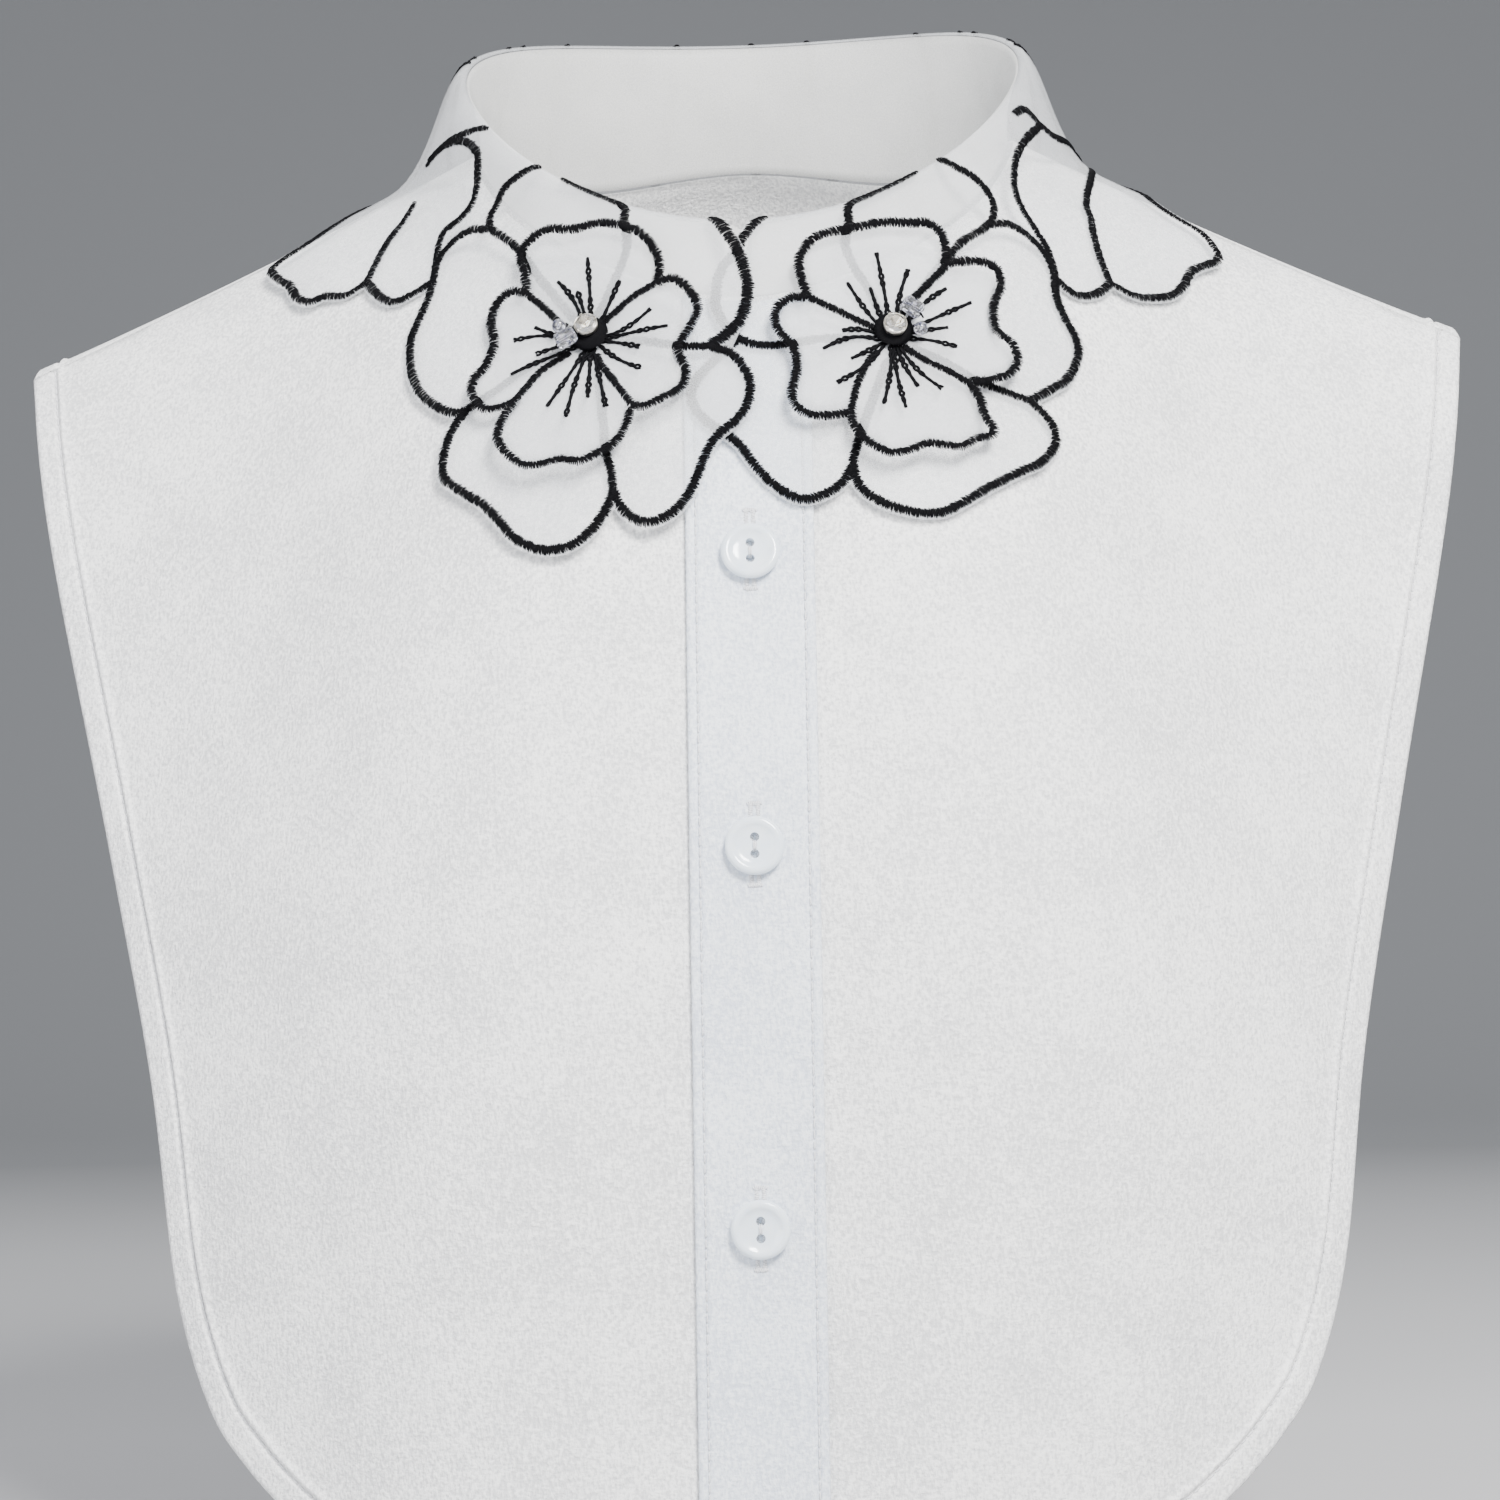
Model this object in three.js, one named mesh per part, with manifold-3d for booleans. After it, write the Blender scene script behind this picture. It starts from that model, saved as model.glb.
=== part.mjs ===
// A bib collar: a sleeveless shirt front with a button placket, a plain back piece, a standing neck
// band and a turned-down collar leaf cut in flower petals, with two small flowers sewn on it.
// It keeps the form that it has when worn. Millimetres, Z up, the front faces -Y, +X is to the
// right as seen from the front. The origin is the middle of the neck hole, level with the two
// points where the shoulder seams meet the neck.
import * as THREE from "three";
import { mergeVertices } from "three/addons/utils/BufferGeometryUtils.js";
import Module from "manifold-3d";

// Driving dimensions, in millimetres.
const shoulderWidth = 356; // from one shoulder tip to the other
const shoulderDrop = 51; // from the neck points down to the shoulder tips
const shoulderTilt = 5; // the right tip sits this much higher than the left one
const neckWidth = 134; // the neck hole, side to side
const neckFront = 62; // from the origin to the neck seam in front
const neckBack = 56; // and at the back
const frontLength = 341; // from the neck points down to the front hem
const backLength = 262; // and down to the back hem
const bustDepth = 122; // from the shoulder ridge forward to the bust
const bladeDepth = 88; // and back to the shoulder blades
const ridgeBack = 6; // the shoulder ridge lies this far behind the seam

const cloth = 1; // thickness of each layer of cloth
const layerGap = 0.35; // between layers that lie on each other
const seamGap = 0.6; // between edges that are sewn to each other

const placketWidth = 30;
const placketCloth = 1.4; // folded cloth, so a little thicker
const placketTuck = 4; // how far the placket's left edge lies over the shirt front

const foldWidth = 142; // the collar's top fold, side to side
const foldDepth = 112; // and front to back
const foldFront = -23.3; // its height at the front
const foldSide = 20.6; // at the sides
const foldBack = 34; // and at the back
const foldTilt = 2.5; // the right side of the fold is this much higher than the left
const foldRoll = 2; // half the width of the rounded fold
const bandGap = 0.75; // between the neck band's top edge and the fold over it
const leafReach = 17; // from the fold out to where the leaf lies down on the cloth
const leafEase = 13; // how gently the fall of the leaf bends over into the part that lies down
const leafGap = 0.8; // between the leaf and the cloth under it
const leafLift = 1.6; // how far the petals' tips stand off it
const leafSettle = 18; // beside the placket, the leaf comes down onto the cloth within this width

const flowerRadius = 28;
const flowerGap = 0.6; // between the leaf and a small flower, which bend by different amounts
const flowerLift = 2.2; // how far the small petals' tips stand off the leaf
const centreRadius = 4.6;
const centreHeight = 1;
const centreGap = 0.7; // under the pad, because the flower curves and the pad's foot is flat

const stoneWidth = 5.6;
const stoneHeight = 3;
const tubeBeadWidth = 4.2;
const tubeBeadLength = 5;
const roundBeadWidth = 3.4;

const buttonWidth = 13.6;
const buttonHeight = 2.5;
const buttonHoleWidth = 1.9;
const buttonHoleSpacing = 3.8;
const buttonBelowLeaf = 14.4; // from the leaf's edge down to the top button's middle
const buttonSteps = [67, 86]; // from each button down to the next one

// Sizes that follow from them.
const halfShoulder = shoulderWidth / 2;
const halfNeck = neckWidth / 2;
const shoulderRun = halfShoulder - halfNeck;
const placketHalf = placketWidth / 2;
const placketBase = cloth + layerGap; // the height of the placket's underside over the body
const placketTop = placketBase + placketCloth;

// How finely each sheet is divided.
const frontColumns = 15;
const frontRows = 17;
const placketColumns = 4;
const backColumns = 24;
const backRows = 14;
const bandColumns = 50;
const leafColumns = 92;
const leafRows = 7;
const flowerColumns = 56;
const leafCrossing = THREE.MathUtils.degToRad(12); // where the leaf's two halves lie on each other
const crossingRise = 0.4; // the share of leafReach within which the upper half rises over the lower
const tipReach = 2.6; // the longest petals' reach, as a share of leafReach
const frontColumnShare = 0.45; // how much closer the leaf's columns stand in front than behind
const neckShare = 0.66; // the share of a front half's top edge that lies on the neck seam
const backNeckShare = 0.62; // and of the back's top edge

// The body form under the cloth. A point on it is named by x and by its way down, from 0 on the
// shoulder ridge to -1 at the front hem or to +1 as far down the back. Depths are shares of bustDepth
// in front and of bladeDepth behind: a row for each of downShares, a column for each of
// stationShares, which run from the middle out to the shoulder tip.
const stationShares = [0, 0.375, 0.67, 1];
const downShares = [0, 0.25, 0.5, 0.75, 1];
const frontDepths = [
  [0, 0, 0, 0],
  [0.33, 0.3, 0.23, 0.16],
  [0.67, 0.67, 0.5, 0.31],
  [0.94, 0.945, 0.76, 0.41],
  [1, 1, 0.8, 0.46],
];
const backDepths = [
  [0, 0, 0, 0],
  [0.62, 0.4, 0.31, 0.2],
  [0.84, 0.8, 0.69, 0.39],
  [1, 0.955, 0.82, 0.46],
  [0.98, 0.93, 0.8, 0.49],
];

// The side and bottom edges, from the shoulder tip to the middle of the hem. Widths are shares of
// half the shoulder width, drops are shares of the piece's length. The row marked corner is where
// the side edge ends and the hem begins.
const frontOutline = [
  { width: 1, drop: 0.152 },
  { width: 0.98, drop: 0.223 },
  { width: 0.946, drop: 0.314 },
  { width: 0.863, drop: 0.504 },
  { width: 0.801, drop: 0.657 },
  { width: 0.766, drop: 0.798 },
  { width: 0.721, drop: 0.877 },
  { width: 0.67, drop: 0.916 },
  { width: 0.618, drop: 0.944, corner: true },
  { width: 0.55, drop: 0.97 },
  { width: 0.45, drop: 0.989 },
  { width: 0.25, drop: 0.999 },
  { width: 0, drop: 1 },
];
const backOutline = [
  { width: 1, drop: 0.198 },
  { width: 0.97, drop: 0.35 },
  { width: 0.9, drop: 0.62 },
  { width: 0.85, drop: 0.8 },
  { width: 0.8, drop: 0.88 },
  { width: 0.72, drop: 0.94, corner: true },
  { width: 0.6, drop: 0.98 },
  { width: 0.4, drop: 0.998 },
  { width: 0, drop: 1 },
];

// The petals along the collar's edge, from the front to the middle of the back. Turns are degrees
// round the neck from the middle of the front, reaches are shares of leafReach, evenly spaced. Each
// petal begins where the one before it ends.
const backPetals = [
  { to: 130, reach: [1.3, 1.75, 1.85, 1.65, 1.35, 1.05] },
  { to: 180, reach: [1.05, 1.17, 1.27, 1.28, 1.2, 1] },
];
const leftPetals = inRow(-0.5, [
  { to: 16.7, reach: [1.1, 1.33, 1.72, 1.92, 1.8] },
  { to: 40, reach: [1.8, 2.28, 2.42, 2.36, 2.3, 1.88] },
  { to: 66, reach: [1.88, 2.03, 2.0, 1.76, 1.45, 1.15] },
  { to: 76, reach: [1.15, 1.42, 1.55, 1.6] },
  { to: 96, reach: [1.6, 2.15, 2.5, 2.8, 2.4, 1.3] },
  ...backPetals,
]);
const rightPetals = inRow(-8, [
  { to: 13.5, reach: [1.1, 1.35, 1.62, 1.72, 1.62] },
  { to: 38.5, reach: [1.62, 1.97, 2.12, 2.22, 2.3, 1.85] },
  { to: 68, reach: [1.85, 2.03, 1.98, 1.72, 1.4, 1.15] },
  { to: 82, reach: [1.15, 1.42, 1.58, 1.6] },
  { to: 96, reach: [1.6, 2.2, 2.5, 2.9, 2.5, 1.3] },
  ...backPetals,
]);

function inRow(start, petals) {
  return petals.map((petal, i) => ({ from: i === 0 ? start : petals[i - 1].to, ...petal }));
}

const buttonTurn = 4; // the leaf's edge over the top button, in degrees

// The two front edges, as turns at even shares of the way down to the hem of the leaf.
const leftFront = [7.4, 3.6, 1.9, 0.1, -0.2, 0.7, 5.6, 0.4, -0.5];
const rightFront = [3.9, 1.5, -0.2, -3, -5.1, -3.4, -5, -7.4, -8];

// The small flowers. Each one's middle is named by its turn and reach on the leaf. The petals' angles
// are degrees from +X towards +Z as seen from the front, and their reaches are shares of flowerRadius
// at even steps from one end of the petal to the other. The stone and the beads have places in
// millimetres from the flower's middle, and onPad is the share of the pad's height that the tube
// bead lies on.
const flowers = [
  {
    side: "left",
    turn: -23.65,
    reach: 0.946,
    petals: inRow(-58, [
      { to: 41.5, reach: [0.64, 0.76, 0.86, 0.74, 0.85, 0.93, 0.73] },
      { to: 144.5, reach: [0.73, 0.95, 1, 0.97, 1.01, 0.97, 0.69] },
      { to: 218, reach: [0.69, 0.85, 0.87, 0.83, 0.92, 1.12, 0.85] },
      { to: 302, reach: [0.85, 1.19, 1.15, 1.03, 0.96, 0.83, 0.64] },
    ]),
    stone: { right: 0, up: 1.2 },
    tubeBead: { right: -4.6, up: -2.8, turn: 35, onPad: 1 },
    roundBead: { right: -6.7, up: 2 },
  },
  {
    side: "right",
    turn: 22.15,
    reach: 0.944,
    petals: inRow(-29, [
      { to: 54, reach: [0.77, 1.05, 1, 0.88, 1.03, 1, 0.78] },
      { to: 152, reach: [0.78, 1.01, 0.98, 0.98, 1.03, 1.06, 0.83] },
      { to: 241, reach: [0.83, 1, 0.9, 0.84, 0.98, 0.9, 0.72] },
      { to: 331, reach: [0.72, 0.89, 0.97, 0.95, 1.08, 1.18, 0.77] },
    ]),
    stone: { right: 0, up: 0 },
    tubeBead: { right: 4.1, up: 4.3, turn: -40, onPad: 0.6 },
    roundBead: { right: 6.1, up: -0.7 },
  },
];

// A smooth curve through values at rising places, level at the start where levelStart says so.
function smoothThrough(places, values, at, levelStart = false) {
  const last = places.length - 1;
  let i = 0;
  while (i < last - 1 && places[i + 1] <= at) i++;
  const slope = (k) => {
    if (k === 0 && levelStart) return 0;
    const a = Math.max(0, k - 1);
    const b = Math.min(last, k + 1);
    return (values[b] - values[a]) / (places[b] - places[a]);
  };
  const span = places[i + 1] - places[i];
  const t = (at - places[i]) / span;
  if (t < 0) return values[i] + slope(i) * (at - places[i]);
  if (t > 1) return values[i + 1] + slope(i + 1) * (at - places[i + 1]);
  const s = 1 - t;
  return (
    s * s * (1 + 2 * t) * values[i] +
    t * t * (3 - 2 * t) * values[i + 1] +
    span * t * s * (s * slope(i) - t * slope(i + 1))
  );
}

// A smooth curve through evenly spaced values, for a share from 0 to 1.
function smoothEven(values, share) {
  const places = values.map((_, i) => i / (values.length - 1));
  return smoothThrough(places, values, THREE.MathUtils.clamp(share, 0, 1));
}

// The reach of a row of petals at a turn, in shares.
function petalReach(petals, turn) {
  const petal = petals.find((p) => turn < p.to) ?? petals[petals.length - 1];
  return smoothEven(petal.reach, (turn - petal.from) / (petal.to - petal.from));
}

// The body form.
const ridgeBend = 0.12; // the share of the drop by which the shoulder line is hollow
const neckHump = ((1 + ridgeBend) * shoulderDrop * halfNeck) / shoulderRun / 2;
const formHeight = frontLength + neckHump;

function ridgeHeight(x) {
  const out = (Math.abs(x) - halfNeck) / shoulderRun;
  const tilt = (shoulderTilt * x) / shoulderWidth;
  if (out < 0) return neckHump * (1 - (x / halfNeck) ** 2) + tilt;
  return tilt - shoulderDrop * ((1 + ridgeBend) * out - ridgeBend * out * out);
}

function bodyDepth(x, down) {
  const share = Math.abs(x) / halfShoulder;
  const rows = down < 0 ? frontDepths : backDepths;
  const column = rows.map((row) => smoothThrough(stationShares, row, share, true));
  const depth = smoothThrough(downShares, column, Math.abs(down));
  return ridgeBack + depth * (down < 0 ? -bustDepth : bladeDepth);
}

function bodyPoint(x, down) {
  return new THREE.Vector3(x, bodyDepth(x, down), ridgeHeight(x) - formHeight * down * down);
}

function bodyNormal(x, down) {
  const step = 1e-3;
  const across = bodyPoint(x + step, down).sub(bodyPoint(x - step, down));
  const along = bodyPoint(x, down + step).sub(bodyPoint(x, down - step));
  return across.cross(along).normalize();
}

// A point at a height over the body.
function overBody(x, down, height) {
  return bodyPoint(x, down).addScaledVector(bodyNormal(x, down), height);
}

// Places on the sheets' patterns: x, and the way along the cloth from the ridge, negative in front.
// Near the ridge the form is about as steep as ridgeRound says, so there the way grows evenly with
// the way down, and further on with its square.
const ridgeRound = 0.4;

function onPattern(x, down) {
  return new THREE.Vector2(x, formHeight * down * Math.hypot(ridgeRound, down));
}

function overPattern(place, height) {
  const way = place.y / formHeight;
  const square = (Math.hypot(ridgeRound ** 2, 2 * way) - ridgeRound ** 2) / 2;
  return overBody(place.x, Math.sign(way) * Math.sqrt(square), height);
}

function downAtHeight(x, z, sign) {
  return sign * Math.sqrt(Math.max(0, (ridgeHeight(x) - z) / formHeight));
}

// The place whose depth is y, in Newton steps from a guess. The form is never flatter than leastSlope.
function downAtDepth(x, y) {
  const leastSlope = bustDepth / 4;
  const step = 1e-4;
  let down = (y - ridgeBack) / (leastSlope * 6);
  for (let i = 0; i < 8; i++) {
    const miss = bodyDepth(x, down) - y;
    const slope = (bodyDepth(x, down + step) - bodyDepth(x, down - step)) / 2 / step;
    down = THREE.MathUtils.clamp(down - miss / Math.max(slope, leastSlope), -1, 1);
  }
  return down;
}

// The neck seam, an oval as seen from above. A turn of 0 is the front.
function neckSeam(turn, clearance = 0) {
  const depth = Math.cos(turn) > 0 ? neckFront : neckBack;
  const x = (halfNeck - clearance) * Math.sin(turn);
  const y = -(depth - clearance) * Math.cos(turn);
  return onPattern(x, downAtDepth(x, y));
}

function shoulderSeam(x) {
  return onPattern(x, downAtDepth(x, 0));
}

// A sheet: a flat box whose points are put in place by place(u, v), with half of the thickness on
// each side. Going along u and then along v turns round the outward side.
function sheet(columns, rows, thickness, place) {
  const geometry = new THREE.BoxGeometry(1, 1, 1, columns, rows, 1);
  const points = geometry.attributes.position;
  const step = 1e-3;
  for (let i = 0; i < points.count; i++) {
    const u = points.getX(i) + 0.5;
    const v = points.getY(i) + 0.5;
    const u0 = Math.max(0, u - step);
    const u1 = Math.min(1, u + step);
    const v0 = Math.max(0, v - step);
    const v1 = Math.min(1, v + step);
    const along = place(u1, v).sub(place(u0, v));
    const out = along.cross(place(u, v1).sub(place(u, v0))).normalize();
    const point = place(u, v).addScaledVector(out, points.getZ(i) * thickness);
    points.setXYZ(i, point.x, point.y, point.z);
  }
  return geometry;
}

// Blends four edges into a patch: the top and bottom edges run along u, the first and last along v.
function patch(top, bottom, first, last) {
  const corners = [top(0), top(1), bottom(0), bottom(1)];
  return (u, v) => {
    const edges = top(u)
      .multiplyScalar(1 - v)
      .addScaledVector(bottom(u), v)
      .addScaledVector(first(v), 1 - u)
      .addScaledVector(last(v), u);
    return edges
      .addScaledVector(corners[0], -(1 - u) * (1 - v))
      .addScaledVector(corners[1], -u * (1 - v))
      .addScaledVector(corners[2], -(1 - u) * v)
      .addScaledVector(corners[3], -u * v);
  };
}

// The side edge and the hem of a piece on its pattern. The hem, which ends at x = hemEnd, is a smooth
// curve as seen from the front.
function outlineCurves(rows, length, sign, facing, hemEnd) {
  const seen = rows.map((row) => {
    const x = row.width === 0 ? hemEnd : sign * row.width * halfShoulder;
    return new THREE.Vector2(x, (shoulderTilt * x) / shoulderWidth - row.drop * length);
  });
  const unroll = (point) => onPattern(point.x, downAtHeight(point.x, point.y, facing));
  const corner = rows.findIndex((row) => row.corner);
  const tip = shoulderSeam(sign * halfShoulder);
  const side = new THREE.SplineCurve([tip, ...seen.slice(1, corner + 1).map(unroll)]);
  const hem = new THREE.SplineCurve(seen.slice(corner));
  return {
    side: (share) => side.getPointAt(share),
    hem: (share) => unroll(hem.getPointAt(share)),
  };
}

// One half of the shirt front, from the placket to its side edge. Both halves end under the placket.
function frontHalf(sign) {
  const inner = placketTuck - placketHalf - (sign < 0 ? seamGap : 0);
  const curves = outlineCurves(frontOutline, frontLength, sign, -1, inner);
  const innerTurn = Math.asin(inner / halfNeck);
  const sideTurn = (sign * Math.PI) / 2;
  const top = (t) => {
    if (t < neckShare) return neckSeam(THREE.MathUtils.lerp(innerTurn, sideTurn, t / neckShare));
    const out = (t - neckShare) / (1 - neckShare);
    return shoulderSeam(sign * (halfNeck + shoulderRun * out));
  };
  const hem = (t) => curves.hem(1 - t);
  const middle = (v) => new THREE.Vector2(inner, THREE.MathUtils.lerp(top(0).y, hem(0).y, v));
  const place = patch(top, hem, middle, curves.side);
  return sheet(frontColumns, frontRows, cloth, (u, v) => {
    return overPattern(place(sign < 0 ? u : 1 - u, v), cloth / 2);
  });
}

// The placket, a folded band down the middle of the front.
function placket() {
  return sheet(placketColumns, frontRows * 2, placketCloth, (u, v) => {
    const x = THREE.MathUtils.lerp(placketHalf, -placketHalf, u);
    const start = neckSeam(Math.asin(x / halfNeck), -seamGap).y;
    const end = onPattern(x, downAtHeight(x, -frontLength, -1)).y;
    const point = new THREE.Vector2(x, THREE.MathUtils.lerp(start, end, v));
    return overPattern(point, placketBase + placketCloth / 2);
  });
}

// The back, in one piece from the left side edge to the right one.
function backPiece() {
  const left = outlineCurves(backOutline, backLength, -1, 1, 0);
  const right = outlineCurves(backOutline, backLength, 1, 1, 0);
  const shoulderShare = (1 - backNeckShare) / 2;
  const top = (u) => {
    const out = Math.min(u, 1 - u) / shoulderShare;
    const sign = u < 0.5 ? -1 : 1;
    if (out < 1) return shoulderSeam(sign * (halfNeck + shoulderRun * (1 - out)));
    const share = (u - shoulderShare) / backNeckShare;
    return neckSeam(THREE.MathUtils.lerp(-Math.PI / 2, (-3 * Math.PI) / 2, share));
  };
  const hem = (u) => (u < 0.5 ? left.hem(2 * u) : right.hem(2 - 2 * u));
  const place = patch(top, hem, left.side, right.side);
  return sheet(backColumns, backRows, cloth, (u, v) => {
    const point = overPattern(place(u, v), cloth / 2);
    point.y += layerGap * (1 - v); // clear of the front at the shoulder seam
    return point;
  });
}

// The collar's top fold round the neck. A turn of 0 is the front, and turns to the right are
// positive.
const foldMean = (foldFront + foldBack) / 2;
const foldRise = (foldBack - foldFront) / 2;
const foldBow = (foldSide - foldMean) / 2;
function foldPoint(turn) {
  const x = (foldWidth / 2) * Math.sin(turn);
  const y = (-foldDepth / 2) * Math.cos(turn);
  const z = foldMean + foldBow - foldRise * Math.cos(turn) - foldBow * Math.cos(2 * turn);
  return new THREE.Vector3(x, y, z + (foldTilt * x) / foldWidth);
}

// The neck band, a strip that stands on the neck seam and ends under the fold. It is open in front.
function neckBand() {
  const opening = seamGap / (foldDepth / 2);
  return sheet(bandColumns, 3, cloth, (u, v) => {
    const turn = THREE.MathUtils.lerp(-opening, opening - 2 * Math.PI, u);
    const seam = neckSeam(turn, seamGap + cloth / 2);
    const foot = overPattern(seam, 0);
    const fold = foldPoint(turn);
    const inward = new THREE.Vector3(-fold.x, -fold.y, 0).normalize();
    const head = fold.addScaledVector(inward, foldRoll / 2);
    head.z -= cloth + bandGap;
    return head.lerp(foot, v);
  });
}

// The collar leaf. A point on it is named by its turn round the neck and by its reach: 0 on the fold,
// 1 where it lies down on the cloth, and past that as a share of leafReach.
function restHeight(x, y) {
  const overCloth = cloth + leafGap + cloth / 2;
  if (y > 0) return overCloth;
  const overPlacket = placketTop + leafGap + cloth / 2;
  const beside = THREE.MathUtils.smoothstep(Math.abs(x), placketHalf, placketHalf + leafSettle);
  return THREE.MathUtils.lerp(overPlacket, overCloth, beside);
}

function leafPath(turn, reach) {
  const fold = foldPoint(turn);
  const out = new THREE.Vector3(fold.x, fold.y, 0);
  const foldRadius = out.length();
  out.normalize();
  const resting = (share) => {
    const x = out.x * (foldRadius + leafReach * share);
    const y = out.y * (foldRadius + leafReach * share);
    return overBody(x, downAtDepth(x, y), restHeight(x, y));
  };
  if (reach >= 1) return resting(reach);
  const rest = resting(1);
  const along = resting(1.04).sub(rest).normalize(); // down the cloth, from a point just past
  const curve = new THREE.CubicBezierCurve3(
    fold.clone().addScaledVector(out, -foldRoll / 2),
    fold.clone().addScaledVector(out, foldRoll * (2 + Math.abs(Math.sin(turn)) / 2)),
    rest.clone().addScaledVector(along, -leafEase),
    rest,
  );
  return curve.getPoint(reach);
}

// The left half crosses over the right one in front, so it is raised there.
function leafPoint(turn, reach, over) {
  const point = leafPath(turn, reach);
  const step = 0.01;
  const along = leafPath(turn, reach + step).sub(point).normalize();
  const out = new THREE.Vector3(point.x, point.y, 0).normalize();
  const across = new THREE.Vector3(-out.y, out.x, 0);
  const outward = along.clone().cross(across).normalize();
  const crossing = 1 - THREE.MathUtils.smoothstep(Math.abs(turn), leafCrossing, leafCrossing * 2.5);
  const raised = over ? crossing * THREE.MathUtils.smoothstep(reach, 0, crossingRise) : 0;
  const tip = Math.max(0, reach - 1) / (tipReach - 1);
  return point.addScaledVector(outward, raised * (cloth + layerGap) + leafLift * tip * tip);
}

function leafOutward(turn, reach, over) {
  const step = 1e-3;
  const down = leafPoint(turn, reach + step, over).sub(leafPoint(turn, reach - step, over));
  const round = leafPoint(turn - step, reach, over).sub(leafPoint(turn + step, reach, over));
  return round.cross(down).normalize();
}

// The leaf runs from its left front edge round the back to its right front edge.
function leafPlace(u, v) {
  const left = u < 0.5;
  const along = 1 - Math.abs(2 * u - 1);
  const petals = left ? leftPetals : rightPetals;
  const front = left ? leftFront : rightFront;
  const even = 180 * along * (1 - frontColumnShare * (1 - along));
  const turnAt = (share) => even + smoothEven(front, share) * (1 - along) ** 3;
  const turn = THREE.MathUtils.degToRad(turnAt(v)) * (left ? -1 : 1);
  return leafPoint(turn, v * petalReach(petals, turnAt(1)), left);
}

function collarLeaf() {
  return sheet(leafColumns, leafRows, cloth, leafPlace);
}

// The place on the leaf that is seen at x and z from the front, in Newton steps of a limited size.
function leafAt(x, z) {
  const over = x < 0;
  const step = 1e-3;
  const longest = 0.25;
  const leastReach = 0.1;
  const atMost = (value) => THREE.MathUtils.clamp(value, -longest, longest);
  let turn = Math.atan2(x, neckFront);
  let reach = 1;
  let point = leafPoint(turn, reach, over);
  for (let i = 0; i < 9; i++) {
    const round = leafPoint(turn + step, reach, over).sub(point).divideScalar(step);
    const down = leafPoint(turn, reach + step, over).sub(point).divideScalar(step);
    const size = round.x * down.z - round.z * down.x;
    turn += atMost(((x - point.x) * down.z - (z - point.z) * down.x) / size);
    reach += atMost(((z - point.z) * round.x - (x - point.x) * round.z) / size);
    reach = Math.max(reach, leastReach);
    point = leafPoint(turn, reach, over);
  }
  return { point, outward: leafOutward(turn, reach, over) };
}

// A small flower of four petals, a sheet whose rings follow the petals' outline.
const flowerBase = cloth + flowerGap; // from the middle of the leaf's thickness to the flower's
function flowerSheet(flower, middle) {
  const rings = [0, 0.4, 0.75, 1]; // shares of the way out
  const profile = [
    ...rings.map((ring) => new THREE.Vector2(ring, -0.5)),
    ...rings.toReversed().map((ring) => new THREE.Vector2(ring, 0.5)),
  ];
  const geometry = new THREE.LatheGeometry(profile, flowerColumns);
  const points = geometry.attributes.position;
  for (let i = 0; i < points.count; i++) {
    const ring = Math.hypot(points.getX(i), points.getZ(i));
    const angle = Math.atan2(-points.getZ(i), points.getX(i));
    const first = flower.petals[0].from;
    const past = THREE.MathUtils.euclideanModulo(THREE.MathUtils.radToDeg(angle) - first, 360);
    const radius = ring * flowerRadius * petalReach(flower.petals, first + past);
    const x = middle.x + radius * Math.cos(angle);
    const z = middle.z + radius * Math.sin(angle);
    const place = leafAt(x, z);
    const lift = flowerLift * (radius / flowerRadius) ** 2;
    const height = flowerBase + lift + points.getY(i) * cloth;
    const point = place.point.addScaledVector(place.outward, height);
    points.setXYZ(i, point.x, point.y, point.z);
  }
  return geometry;
}

// A turned shape from pairs of radius and height, which start and end on the axis or close.
function turned(pairs, sides) {
  return new THREE.LatheGeometry(
    pairs.map(([radius, height]) => new THREE.Vector2(radius, height)),
    sides,
  );
}

// The satin-stitched pad in a flower's middle.
function centrePad() {
  return turned(
    [
      [0, 0],
      [centreRadius, 0],
      [centreRadius, 0.4 * centreHeight],
      [0.75 * centreRadius, centreHeight],
      [0, centreHeight],
    ],
    24,
  );
}

// A round cut stone in its cup, with a flat table and a ring of facets.
function stoneInCup() {
  const radius = stoneWidth / 2;
  return turned(
    [
      [0, 0],
      [0.9 * radius, 0],
      [radius, 0.45 * stoneHeight],
      [0.9 * radius, 0.55 * stoneHeight],
      [0.55 * radius, stoneHeight],
      [0, stoneHeight],
    ],
    12,
  );
}

// Beads are rings round the thread's hole, along Y, with their middle at the origin.
const beadHole = 1;
function tubeBead() {
  const radius = tubeBeadWidth / 2;
  const half = tubeBeadLength / 2;
  const edge = 0.15 * tubeBeadWidth;
  return turned(
    [
      [beadHole / 2, -half],
      [radius - edge, -half],
      [radius, edge - half],
      [radius, half - edge],
      [radius - edge, half],
      [beadHole / 2, half],
      [beadHole / 2, -half],
    ],
    12,
  );
}

function roundBead() {
  const radius = roundBeadWidth / 2;
  const start = Math.asin(beadHole / roundBeadWidth);
  const pairs = Array.from({ length: 8 }, (_, i) => {
    const angle = THREE.MathUtils.lerp(Math.PI - start, start, i / 7);
    return [radius * Math.sin(angle), radius * Math.cos(angle)];
  });
  return turned([...pairs, pairs[0]], 12);
}

// Cuts shapes out of a solid.
const wasm = await Module();
wasm.setup();

function solid(geometry) {
  const bare = geometry.clone();
  bare.deleteAttribute("normal");
  bare.deleteAttribute("uv");
  const merged = mergeVertices(bare, 1e-4);
  return new wasm.Manifold(
    new wasm.Mesh({
      numProp: 3,
      vertProperties: merged.attributes.position.array,
      triVerts: new Uint32Array(merged.index.array),
    }),
  );
}

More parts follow.
